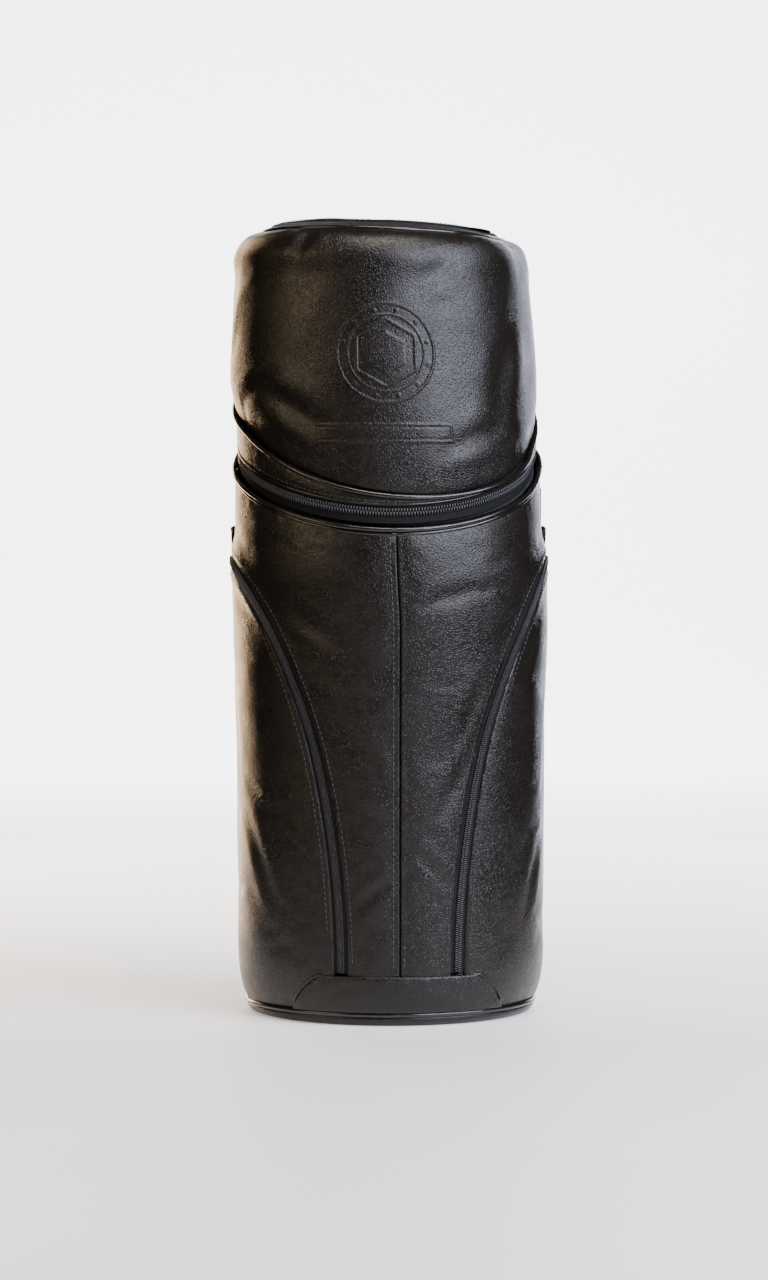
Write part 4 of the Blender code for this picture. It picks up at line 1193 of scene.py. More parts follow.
@dataclass
class Body:
    """The padded tube: base, wall, seams and pipings."""

    wall: tuple[bpy.types.Object, ...] = ()

    def build(self) -> None:
        """Build every piece that stays with the body."""
        self.build_panels()
        self.build_padding()
        self.build_seams()
        self.build_base()
        self.build_rim()

    @staticmethod
    def front_outline() -> np.ndarray:
        """The right front panel on the flat pattern."""
        side = 90 * PER_DEGREE - 0.0003
        foot = (90 - ARCH_SPAN) * PER_DEGREE
        arch = arch_line(ZIP_HALF - 0.0012, 0.0, math.pi / 2, 48)
        arch[:, 0] = np.minimum(arch[:, 0], side)
        azimuths = np.linspace(90, 0, 25)
        rim = np.stack([azimuths * PER_DEGREE, rim_height(azimuths) - 0.0022], axis=1)
        rim[0, 0], rim[-1, 0] = side, 0.0004
        corners = [(0.0004, HEM), (foot - 0.0052, HEM), (foot - 0.0052, ARCH_LOW - 0.0004)]
        return np.array(corners + arch.tolist() + rim.tolist())

    @staticmethod
    def back_outline() -> np.ndarray:
        """The back panel on the flat pattern."""
        near, far = 90 * PER_DEGREE + 0.0003, 270 * PER_DEGREE - 0.0003
        arch = arch_line(ZIP_HALF - 0.0012, math.pi / 2, math.pi, 48)
        arch[:, 0] = np.maximum(arch[:, 0], near)
        foot = (90 + ARCH_SPAN) * PER_DEGREE + 0.0052
        right = arch.tolist() + [(foot, ARCH_LOW - 0.0004), (foot, HEM)]
        left = [(360 * PER_DEGREE - u, z) for u, z in reversed(right)]
        azimuths = np.linspace(270, 90, 49)
        rim = np.stack([azimuths * PER_DEGREE, rim_height(azimuths) - 0.0022], axis=1)
        rim[0, 0], rim[-1, 0] = far, near
        return np.array(right + left + rim.tolist())

    def build_panels(self) -> None:
        """The two front panels and the back panel."""

        def seam_fold(flat: np.ndarray) -> np.ndarray:
            """Raised fold of the front seam, which stands a little prouder on the right."""
            near = np.abs(flat[:, 0])
            groove = 0.0005 * np.exp(-(((near - 0.0045) / 0.0018) ** 2))
            return 0.0011 * np.exp(-((near / 0.0016) ** 2)) - groove

        right = self.front_outline()
        nodes = ("front_panel_right", "front_padding")
        front = Panel("front_right", right, nodes, seed=3, extra=seam_fold).build("body")
        left = (right * (-1, 1))[::-1]
        other = Panel("front_left", left, ("front_panel_left",), seed=5, extra=seam_fold).build("body")
        nodes = ("back_panel", "back_padding")
        back = Panel("back", self.back_outline(), nodes, seed=9, step=0.0045).build("body")
        self.wall = (front, other, back)

    def build_padding(self) -> None:
        """Foam pads behind the leather, a little smaller than it."""
        rows, columns = 40, 72
        for name, start in (("front_foam", -89), ("back_foam", 91)):
            azimuths = np.linspace(start, start + 178, columns)
            turn, level = np.meshgrid(azimuths, np.linspace(0.0, 1.0, rows))
            z = 0.016 + level * (rim_height(turn) - 0.006 - 0.016)
            flat = np.stack([turn.ravel() * PER_DEGREE, z.ravel()], axis=1)
            inside = on_body(flat, -0.0050 + 0.0004 * waves(flat, 0.03, 4) - arch_bulge(flat))
            pad = new_object(name, inside, grid_faces(rows, columns), Finish.FOAM, flat)
            thick = pad.modifiers.new("Solidify", "SOLIDIFY")
            thick.thickness, thick.offset = 0.0018, -1
            bake(pad)
            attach(pad, "body")

    def build_seams(self) -> None:
        """Topstitching beside the front seam and its tack."""
        top = rim_height(0.0) - 0.006
        heavy = Stitching(thread=0.0010)
        for name, width, z0, z1 in (
            ("seam_stitches", -0.0050, 0.041, top),
            ("seam_fold_stitches", 0.0030, 0.041, 0.041 + 0.012),
        ):
            line = body_run(line_between((width, z0), (width, z1), 160), 0.0)
            row = heavy.sew(name, line.laid_on(*self.wall))
            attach(row, "body")
        for k in range(5):
            width = -0.0045 + k * 0.0006
            line = body_run(line_between((width, top - 0.004), (width, top + 0.001), 6), 0.0)
            bar = tube(f"seam_tack_{k}", line.laid_on(*self.wall), 0.00032, Finish.THREAD, 6)
            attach(bar, "body")

    def build_base(self) -> None:
        """Base panel, its pad, the base piping and the curved front patch."""
        rows = (
            (0.0, 0.0008),
            (0.06, 0.0004),
            (0.090, 0.0),
            (0.1045, 0.0),
            (0.1078, 0.0010),
            (0.1098, 0.0034),
            (0.1104, 0.0062),
            (0.1080, 0.0084),
        )
        panel = turned_shell("base_leather", rows, Finish.SOLID_LEATHER, 0.0003)
        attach(panel, "body")
        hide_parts("base_panel")
        pad_rows = (
            (0.0, 0.0068),
            (0.0960, 0.0068),
            (0.0978, 0.0085),
            (0.0980, 0.0115),
            (0.0955, 0.0134),
            (0.050, 0.0141),
            (0.0, 0.0138),
        )
        pad = turned_shell("base_cushion", pad_rows, Finish.LINING, 0.0004)
        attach(pad, "body")
        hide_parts("base_pad")
        self.piping("base_cord", ring_points(0.1104, 0.0086, 0.0), 0.0018, ("base_piping",), "body")
        self.build_patch()

    @staticmethod
    def build_patch() -> None:
        """The front patch, its topstitching and its folded edge."""
        quarter = np.linspace(0, math.pi / 2, 25)
        across, up = np.cos(quarter) ** 1.5, np.sin(quarter) ** 1.5
        edge = np.stack([(31 + 13 * across) * PER_DEGREE, HEM + 0.0004 + (0.0372 - HEM) * up], axis=1)
        outline = np.concatenate([edge, (edge * (-1, 1))[::-1]])
        patch = Panel(
            "base_patch_leather",
            outline,
            ("base_patch",),
            place=lambda flat, out: on_body(flat, out + 0.0028),
            creases=(
                Crease(-20, 0.028, 15, 0.03, 0.004, 0.0006),
                Crease(24, 0.024, -25, 0.03, 0.004, 0.0006),
            ),
            puff=0.0006,
            step=0.0030,
            seed=21,
            simulate=False,
        )
        leather = patch.build("body")
        inner = np.stack([(29.6 + 12.0 * across) * PER_DEGREE, HEM + (0.0344 - HEM) * up], axis=1)
        for name, side in (("right", 1), ("left", -1)):
            line = body_run(inner[3:] * (side, 1), 0.0).at(np.linspace(0, 0.045, 60))
            row = Stitching(0.0024, 0.0012).sew(f"patch_stitches_{name}", line.laid_on(leather))
            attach(row, "body")
        roll = np.concatenate([edge[6:], (edge[6:] * (-1, 1))[::-1]])
        fold = tube("base_patch_fold", body_run(roll, 0.0026), 0.00085, Finish.BINDING, 10)
        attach(fold, "body")

    @staticmethod
    def piping(
        name: str, points: np.ndarray, radius: float, nodes: tuple[str, ...], body: str
    ) -> bpy.types.Object:
        """Leather piping: a cord inside a folded strip, slightly lumpy where it is drawn tight.

        Args:
            name: object name.
            points: its closed line.
            radius: radius of the covered cord.
            nodes: CAD nodes that it stands for.
            body: CAD body that it rides on.

        Returns:
            The object.
        """
        run = Run(points, radial(points), True)
        uneven = radius * (1 + 0.05 * waves(points, 0.018, 31) + 0.03 * waves(points, 0.006, 33))
        cord = tube(name, run, uneven, Finish.BINDING, 16)
        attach(cord, body)
        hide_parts(*nodes)
        return cord

    def build_rim(self) -> None:
        """Rim piping, the flat binding under it, and the lining."""
        ring = ring_points(RIM_PIPING + 0.0006, RIM_HEIGHT, RIM_SLOPE)
        self.piping("rim_cord", ring, 0.0018, ("rim_piping",), "body")
        lower = ring_points(RIM_PIPING + 0.0001, RIM_HEIGHT - 0.0034, RIM_SLOPE)
        binding = tube("rim_binding", Run(lower, radial(lower), True), 0.0014, Finish.BINDING, 12, 0.75)
        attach(binding, "body")
        lining_rows = [
            (0.1100, RIM_HEIGHT + 0.0002),
            (0.1040, RIM_HEIGHT + 0.0012),
            (0.0998, RIM_HEIGHT + 0.0006),
            (0.0991, RIM_HEIGHT - 0.0060),
            (0.0990, 0.30),
            (0.0990, 0.15),
            (0.0990, 0.0160),
            (0.0984, 0.0144),
        ]
        lining = turned_shell("tube_lining", lining_rows, Finish.LINING, 0.0006, rim_shear)
        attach(lining, "body")
        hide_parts("body_lining")


def rim_shear(z: np.ndarray) -> np.ndarray:
    """Slope of the wall's layers, which grows from none to the rim's over the top part."""
    return RIM_SLOPE * smooth_step(z, 0.32, 0.41)


def turned_shell(
    name: str,
    rows: Sequence[tuple[float, float]],
    finish: Finish,
    uneven: float,
    shear: Optional[Callable[[np.ndarray], np.ndarray]] = None,
) -> bpy.types.Object:
    """Turn a profile round the bag's axis as a thin soft shell.

    Args:
        name: object name.
        rows: radius and height of each ring.
        finish: its finish.
        uneven: height of the soft unevenness.
        shear: slope for a height, or None.

    Returns:
        The object.
    """
    given = np.array(rows, float)
    step = np.linalg.norm(np.diff(given, axis=0), axis=1)
    travelled = np.concatenate([[0.0], np.cumsum(step)])
    count = max(int(travelled[-1] / 0.006), len(rows) * 2)
    where = np.unique(np.concatenate([travelled, np.linspace(0, travelled[-1], count)]))
    radius, height = (np.interp(where, travelled, given[:, k]) for k in (0, 1))
    segments = 144
    turn = np.linspace(0, 2 * math.pi, segments, endpoint=False)
    r, angle = np.meshgrid(radius, turn, indexing="ij")
    z = np.broadcast_to(height[:, None], r.shape)
    points = np.stack([r * np.sin(angle), -r * np.cos(angle), z], axis=2).reshape(-1, 3)
    soft = uneven * waves(points, 0.045, 12) * smooth_step(points[:, 2], 0.008, 0.03)
    points += radial(points + (1e-9, 0, 0)) * soft[:, None]
    if shear is not None:
        points[:, 2] += shear(points[:, 2]) * points[:, 1]
    flat = np.stack([angle * FLAT_RADIUS, np.broadcast_to(where[:, None], r.shape)], axis=2).reshape(-1, 2)
    return new_object(name, points, grid_faces(len(where), segments, closed=True), finish, flat)


# ---------------------------------------------------------------- lid and top flap


@dataclass(frozen=True)
class Emblem:
    """Plain embossed badge: a double ring of studs round a raised hexagon, and a plain bar below."""

    azimuth: float = 0.0
    height: float = 0.4985
    radius: float = 0.0365
    bar_height: float = 0.4395
    bar_shift: float = -0.0062
    bar_half: tuple[float, float] = (0.0520, 0.0062)
    depth: float = 0.00060

    def relief(self, flat: np.ndarray) -> np.ndarray:
        """Height of the embossing on the front of the lid.

        Args:
            flat: (n, 2) widths and real heights.

        Returns:
            (n,) heights in metres.
        """
        du, dz = flat[:, 0] - self.azimuth * PER_DEGREE, flat[:, 1] - self.height
        reach = np.hypot(du, dz)

        def line(value: np.ndarray, half: float) -> np.ndarray:
            """A rounded ridge where a value is near zero."""
            return np.exp(-((value / half) ** 4))

        total = line(reach - self.radius, 0.0010) + 0.8 * line(reach - self.radius * 0.78, 0.0007)
        turn = np.arctan2(dz, du)
        beside = (turn % (math.pi / 6) - math.pi / 12) * reach
        total += 0.8 * line(np.hypot(beside, reach - self.radius * 0.89), 0.0016)
        hexagon = reach * np.cos((turn + math.pi / 6) % (math.pi / 3) - math.pi / 6)
        total += line(hexagon - self.radius * 0.60, 0.0011)
        total += 1.0 / (1.0 + np.exp((hexagon - self.radius * 0.38) / 0.0003))
        across = np.abs(du - self.bar_shift) - self.bar_half[0]
        away = np.maximum(across, np.abs(flat[:, 1] - self.bar_height) - self.bar_half[1])
        total += 0.9 * line(away, 0.0009)
        total += 0.6 / (1.0 + np.exp(np.clip((away + 0.0022) / 0.0003, -40, 40)))
        return self.depth * total


@dataclass(frozen=True)
class Lid:
    """The zipped lid: leather shell, band, pipings and linings."""

    top: float = float(LID.x[-1])  # length of the profile from the seam to the top
    radius: float = 0.115  # mean radius, to measure patterns on
    columns: int = 210
    emblem: Emblem = Emblem()

    def build(self) -> None:
        """Build every piece that moves with the lid."""
        self.build_shell()
        self.build_band()
        self.build_inside()

    def shell_points(self, flat: np.ndarray) -> np.ndarray:
        """Place points of the leather shell, with its dents and puckers."""
        edge = flat[:, 1]
        turn = flat[:, 0] / FLAT_RADIUS
        x, y = np.sin(turn) * self.radius, -np.cos(turn) * self.radius
        height = LID.at(edge, 0) - LID.at(edge, 2) * self.radius * np.cos(turn)
        level = np.stack([flat[:, 0], height], axis=1)
        rise = 0.0012 * (1 - np.exp(-edge / 0.014)) - 0.0008
        rise -= 0.0010 * np.exp(-((edge / 0.0016) ** 2))
        shoulder = np.exp(-(((edge - self.top + 0.027) / 0.010) ** 2))
        below_top = 1 - smooth_step(edge, self.top - 0.030, self.top - 0.004)
        rise += 0.0012 * smooth_step(edge, 0.0, 0.020) * below_top
        rise += 0.0036 * (0.6 - 0.4 * np.sin(turn)) * shoulder
        rise += 0.0006 * waves(np.stack([x, y, edge], axis=1), 0.065, 17)
        hem = waves(np.stack([x, y, edge * 0.3], axis=1), 0.0115, 19)
        rise += 0.00075 * hem * np.exp(-edge / 0.011) * (1 - np.exp(-edge / 0.0015))
        rise += 0.0004 * hem * np.exp(-(self.top - edge) / 0.012)
        for crease in LID_CREASES:
            rise += crease.at(level) * (1 - np.exp(-edge / 0.006)) * (1 - np.exp(-(self.top - edge) / 0.006))
        for crease in LID_CREASES:
            if crease.azimuth > 150:
                shifted = level - (360 * PER_DEGREE, 0)
                rise += crease.at(shifted + (720 * PER_DEGREE, 0))
        return on_lid(flat, rise)

    def build_shell(self) -> None:
        """Leather shell as one piece with a closing seam at the back."""
        columns = self.columns
        turns = np.linspace(-180.0, 180.0, columns, endpoint=False)
        middle = np.linspace(0.0030, self.top - 0.004, 44)
        ups = np.concatenate([[0.0, 0.0010], middle, [self.top - 0.0012, self.top]])
        u, s = np.meshgrid(turns * PER_DEGREE, ups)
        flat = np.stack([u.ravel(), s.ravel()], axis=1)
        faces = grid_faces(len(ups), columns, closed=True)
        points = self.shell_points(flat)
        step = np.linalg.norm(np.diff(points.reshape(len(ups), columns, 3), axis=0), axis=2)
        down = np.concatenate([step[::-1].cumsum(axis=0)[::-1], np.zeros((1, columns))])
        grain = np.stack([u.ravel(), -down.ravel()], axis=1)
        obj = new_object("lid_leather", points, faces, Finish.LEATHER, grain)
        edge = np.minimum(flat[:, 1], self.top - flat[:, 1])
        beside = flat[:, 0] - self.emblem.azimuth * PER_DEGREE
        badge = smooth_step(np.hypot(beside, (points[:, 2] - 0.470) * 0.8), 0.045, 0.075)
        inflated(obj, smooth_step(edge, 0.001, 0.014) * (0.25 + 0.75 * badge), 7.0, 0.006, 0.0014)
        self.emboss(obj)
        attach(obj, "lid")
        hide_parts("lid_panel", "lid_foam")

    def emboss(self, obj: bpy.types.Object) -> None:
        """Refine the simulated shell, more round the badge, and press the badge into it."""
        self.fix_wrap(obj)
        turned_in(obj, 0.0016)
        refined(obj)
        shell = bmesh.new()
        shell.from_mesh(obj.data)
        layer = shell.loops.layers.uv.active
        for _ in range(2):
            near = [
                f
                for f in shell.faces
                if all(
                    abs(loop[layer].uv.x - self.emblem.azimuth * PER_DEGREE) < 0.058
                    and 0.420 < loop.vert.co.z < 0.536
                    and loop.vert.co.y < 0
                    for loop in f.loops
                )
            ]
            edges = list({e for f in near for e in f.edges})
            bmesh.ops.subdivide_edges(shell, edges=edges, cuts=1, use_grid_fill=True)
        shell.verts.index_update()
        where = np.zeros((len(shell.verts), 2))
        for face in shell.faces:
            for loop in face.loops:
                where[loop.vert.index] = (loop[layer].uv.x, loop.vert.co.z)
        rise = self.emblem.relief(where)
        shell.normal_update()
        for vert, lift in zip(shell.verts, rise):
            if lift > 1e-6 and vert.co.y < -0.05:
                vert.co += vert.normal * float(lift)
        for face in shell.faces:
            face.smooth = True
        shell.to_mesh(obj.data)
        shell.free()

    @staticmethod
    def fix_wrap(obj: bpy.types.Object) -> None:
        """Give the last column's faces flat widths that go on past 180 degrees."""
        layer = obj.data.uv_layers[0].data
        for polygon in obj.data.polygons:
            values = [layer[i].uv.x for i in polygon.loop_indices]
            if max(values) - min(values) > 0.2:
                for i in polygon.loop_indices:
                    if layer[i].uv.x < 0:
                        layer[i].uv.x += 360 * PER_DEGREE

    def build_band(self) -> None:
        """Lid piping, the band under it, and the piping round the top."""
        ring = ring_points(LID_PIPING + 0.0007, LID_SEAM + 0.0004, LID_SLOPE)
        Body.piping("lid_cord", ring, 0.0019, ("lid_piping",), "lid")
        Body.piping("top_cord", ring_points(0.0905, 0.5916, 0.0), 0.0016, ("top_piping",), "lid")
        rows, columns = 8, 240
        turn = np.linspace(-ZIP_END - 4, ZIP_END + 4, columns)
        a, v = np.meshgrid(np.radians(turn), np.linspace(0.0, 1.0, rows))
        r = 0.1139 + 0.0006 * np.sin(v * math.pi)
        y = -r * np.cos(a)
        low, high = ZIP_HEIGHT + 0.0060 + ZIP_SLOPE * y, LID_SEAM - 0.0008 + LID_SLOPE * y
        z = low + (high - low) * v
        points = np.stack([r * np.sin(a), y, z], axis=2).reshape(-1, 3)
        points += radial(points) * (0.0003 * waves(points, 0.012, 41) * np.sin(v * math.pi).ravel())[:, None]
        flat = np.stack([a * FLAT_RADIUS, z], axis=2).reshape(-1, 2)
        faces = grid_faces(rows, columns)
        band = new_object("lid_band_leather", slumped(points), faces, Finish.LEATHER, flat)
        turned_in(band, 0.0012)
        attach(band, "lid")
        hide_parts("lid_band")
        fold = ring_points(0.1139, ZIP_HEIGHT + 0.0062, ZIP_SLOPE, -ZIP_END - 4, 2 * ZIP_END + 8)
        roll = tube("lid_band_fold", Run(fold, radial(fold)), 0.0010, Finish.BINDING, 10)
        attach(roll, "lid")
        row = ring_points(0.1146, ZIP_HEIGHT + 0.0092, ZIP_SLOPE, -ZIP_END, 2 * ZIP_END)
        stitches = Stitching().sew("lid_band_stitches", Run(row, radial(row)))
        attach(stitches, "lid")

    def build_inside(self) -> None:
        """Lining of the lid, seen when it is open."""
        rows, columns = 40, 144
        turns = np.linspace(0, 360, columns, endpoint=False) * PER_DEGREE
        u, v = np.meshgrid(turns, np.linspace(0.004, self.top, rows))
        flat = np.stack([u.ravel(), v.ravel()], axis=1)
        gather = 0.0006 * waves(flat * (1, 0.4), 0.02, 51)
        points = on_lid(flat, -0.0076 + gather)
        faces = grid_faces(rows, columns, closed=True, inward=True)
        lining = new_object("lid_liner", points, faces, Finish.LINING, flat)
        first = flat[:columns]
        hem = ring_points(0.1095, ZIP_HEIGHT + 0.0076, ZIP_SLOPE, count=columns)
        outer = ring_points(0.1128, ZIP_HEIGHT + 0.0070, ZIP_SLOPE, count=columns)
        rings = np.concatenate([outer, hem, on_lid(first, -0.0076)])
        faces = grid_faces(3, columns, closed=True, inward=True)
        weave = np.concatenate([first, first + (0, 0.01), first + (0, 0.02)])
        facing = new_object("lid_facing", rings, faces, Finish.LINING, weave)
        for piece in (lining, facing):
            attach(piece, "lid")
        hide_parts("lid_lining")
        self.build_facings()

    @staticmethod
    def build_facings() -> None:
        """Tape facings under the top zip, one on each side, that lap so no light passes."""
        count = 144
        turn = np.linspace(0, 2 * math.pi, count, endpoint=False)
        for name, body, rows in (
            ("top_zip_facing", "lid", ((0.0915, 0.5880), (0.0880, 0.5887), (0.0846, 0.5912))),
            (
                "top_flap_facing",
                "top_flap",
                ((0.0856, 0.5921), (0.0826, 0.5938), (0.0790, 0.5958), (0.0700, 0.5962)),
            ),
        ):
            points = np.array([(r * math.sin(t), -r * math.cos(t), z) for r, z in rows for t in turn])
            faces = grid_faces(len(rows), count, closed=True)
            facing = new_object(name, slumped(points), faces, Finish.LINING, points[:, :2])
            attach(facing, body)


@dataclass(frozen=True)
class LidZip:
    """The size 5 coil zip round the lid, and the hinge strip that closes the ring at the back."""

    zipper: CoilZip = CoilZip(0.0022, 0.0031, 0.0084, 0.0017)

    def build(self) -> None:
        """Build both zip halves and the strip."""
        points = ring_points(ZIP_RADIUS + 0.0006, ZIP_HEIGHT, ZIP_SLOPE, -ZIP_END, 2 * ZIP_END, 400)
        run = Run(points, radial(points))
        for side, body, name, node in (
            (1, "lid", "lid_zip_high", "lid_zip_upper"),
            (-1, "body", "lid_zip_low", "lid_zip_lower"),
        ):
            teeth, tape = self.zipper.half(name, run, side)
            for piece in (teeth, tape):
                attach(piece, body)
            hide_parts(node)
        self.build_strip()

    def build_strip(self) -> None:
        """Leather hinge strip between body and lid."""
        columns, rows = 60, 12
        turn = np.radians(np.linspace(ZIP_END + 0.5, 360 - ZIP_END - 0.5, columns))
        a, v = np.meshgrid(turn, np.linspace(0, 1, rows))
        r = 0.1136 + 0.0010 * np.sin(v * math.pi)
        y = -r * np.cos(a)
        low, high = RIM_HEIGHT + 0.0012 + RIM_SLOPE * y, LID_SEAM - 0.0008 + LID_SLOPE * y
        z = low + (high - low) * v
        points = np.stack([r * np.sin(a), y, z], axis=2).reshape(-1, 3)
        points += radial(points) * (0.0004 * waves(points, 0.02, 61) * np.sin(v * math.pi).ravel())[:, None]
        flat = np.stack([a * FLAT_RADIUS, z], axis=2).reshape(-1, 2)
        faces = grid_faces(rows, columns)
        strip = new_object("hinge_leather", slumped(points), faces, Finish.LEATHER, flat)
        thick = strip.modifiers.new("Solidify", "SOLIDIFY")
        thick.thickness, thick.offset = 0.0014, -1
        bake(strip)
        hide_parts("hinge_strip")
        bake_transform(strip)


@dataclass(frozen=True)
class TopFlap:
    """The flap in the lid's top with its own zip."""

    low: float = 0.0886  # radius of the zip's lower edge
    high: float = 0.0800  # radius of its upper edge
    zipper: CoilZip = CoilZip(0.0016, 0.0024, 0.0056, 0.0013)

    def zip_run(self, reach: float) -> Run:
        """Centre line of the top zip over an azimuth range of plus and minus reach."""
        turn = np.radians(np.linspace(-reach, reach, 360))
        radius, height = (self.low + self.high) / 2, (0.5903 + 0.5974) / 2 + 0.0006
        points = np.stack([radius * np.sin(turn), -radius * np.cos(turn), np.full(360, height)], axis=1)
        out = radial(points) * 0.64 + (0, 0, 0.77)
        return Run(slumped(points), out)

    def build(self) -> None:
        """Build the flap, its zip and its hinge strip."""
        for side, body, name, node, reach in (
            (-1, "lid", "top_zip_low", "top_zip_lower", 160.0),
            (1, "top_flap", "top_zip_high", "top_zip_upper", 140.0),
        ):
            teeth, tape = self.zipper.half(name, self.zip_run(reach), side)
            for piece in (teeth, tape):
                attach(piece, body)
            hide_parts(node)
        middle = [0.0, 0.010, 0.020, 0.030, 0.040, 0.050, 0.058, 0.064, 0.069, 0.073]
        rings = np.array(middle + [0.0760, 0.0778, 0.0788])
        count = 120
        turn = np.linspace(0, 2 * math.pi, count, endpoint=False)
        r, a = np.meshgrid(rings, turn, indexing="ij")
        plan = np.stack([r * np.sin(a), -r * np.cos(a)], axis=2).reshape(-1, 2)
        edge = 0.0788 - r.ravel()
        puff = 1 - np.exp(-edge / 0.010)
        z = 0.5982 + 0.0030 * puff + 0.0006 * waves(plan, 0.05, 71) * puff
        z -= 0.0009 * np.exp(-((edge / 0.0012) ** 2))
        points = slumped(np.column_stack([plan, z]))
        faces = grid_faces(len(rings), count, closed=True, inward=True)[count:]
        faces += [(0, count + k, count + (k + 1) % count) for k in range(count)]
        flap = new_object("flap_leather", points, faces, Finish.LEATHER, plan)
        flip_if_inside_out(flap)
        turned_in(flap, 0.0012)
        refined(flap)
        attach(flap, "top_flap")
        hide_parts("top_flap_panel")
        height = np.full(count, 0.5982 + 0.0009)
        row = np.stack([0.0755 * np.sin(turn), -0.0755 * np.cos(turn), height], axis=1)
        stitches = Stitching().sew("flap_stitches", Run(slumped(row), np.tile((0.0, 0.0, 1.0), (count, 1))))
        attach(stitches, "top_flap")
        self.build_strip()

    def build_strip(self) -> None:
        """Short leather strip on which the flap turns."""
        columns, rows = 30, 8
        turn = np.radians(np.linspace(160.8, 199.2, columns))
        a, v = np.meshgrid(turn, np.linspace(0, 1, rows))
        r = 0.0893 + (0.0782 - 0.0893) * v
        z = 0.5904 + (0.5984 - 0.5904) * v + 0.0010 * np.sin(v * math.pi)
        points = np.stack([r * np.sin(a), -r * np.cos(a), z], axis=2).reshape(-1, 3)
        flat = np.stack([a * FLAT_RADIUS, v * 0.014], axis=2).reshape(-1, 2)
        strip = new_object("flap_hinge_leather", points, grid_faces(rows, columns), Finish.LEATHER, flat)
        thick = strip.modifiers.new("Solidify", "SOLIDIFY")
        thick.thickness, thick.offset = 0.0012, -1
        bake(strip)
        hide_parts("top_hinge_strip")
        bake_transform(strip)


# ---------------------------------------------------------------- pockets, handle and fittings


@dataclass(frozen=True)
class Pocket:
    """One arched side pocket: flap leather, foot, and its zip."""

    name: str
    side: int
    wall: tuple[bpy.types.Object, ...]

    def bend(self, piece: bpy.types.Object) -> None:
        """Keep a piece where it was built, with its placement baked into its mesh."""
        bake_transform(piece)

    def build(self) -> None:
        """Build the flap leather, its stitches and both zip halves."""
        inner = arch_line(-ZIP_HALF + 0.0012, 0.0, math.pi, 110)
        foot_front = (90 - ARCH_SPAN) * PER_DEGREE + 0.0052
        foot_back = (90 + ARCH_SPAN) * PER_DEGREE - 0.0052
        step = ARCH_LOW - 0.001
        foot = [(foot_back, step), (foot_back, HEM), (foot_front, HEM), (foot_front, step)]
        outline = np.array(foot + inner.tolist()) * (self.side, 1)
        if self.side < 0:
            outline = outline[::-1]
        flap = Panel(
            f"pocket_leather_{self.name}",
            outline,
            (f"pocket_flap_{self.name}", f"pocket_foot_{self.name}"),
            seed=81 + self.side,
            step=0.0042,
            puff=0.0030,
        ).build("")
        self.bend(flap)
        inside = body_run(arch_line(-ZIP_HALF - 0.0030, 0.10, math.pi - 0.10, 240, self.side), 0.0)
        row = Stitching().sew(f"pocket_stitches_{self.name}", inside.laid_on(flap))
        self.bend(row)
        around = body_run(arch_line(ZIP_HALF + 0.0030, 0.02, math.pi - 0.02, 240, self.side), 0.0)
        outside = Stitching().sew(f"arch_stitches_{self.name}", around.laid_on(*self.wall))
        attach(outside, "body")

        run = body_run(arch_line(0.0, 0.004, math.pi - 0.004, 300, self.side), -0.0017)
        zipper = CoilZip(0.00158, 0.0030, ZIP_HALF + 0.0025, 0.0017)
        for part, side in (("outer", self.side), ("inner", -self.side)):
            teeth, tape = zipper.half(f"pocket_zip_{part}_coil_{self.name}", run, side)
            for piece in (teeth, tape):
                if part == "outer":
                    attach(piece, "body")
                else:
                    self.bend(piece)
            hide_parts(f"pocket_zip_{part}_{self.name}")


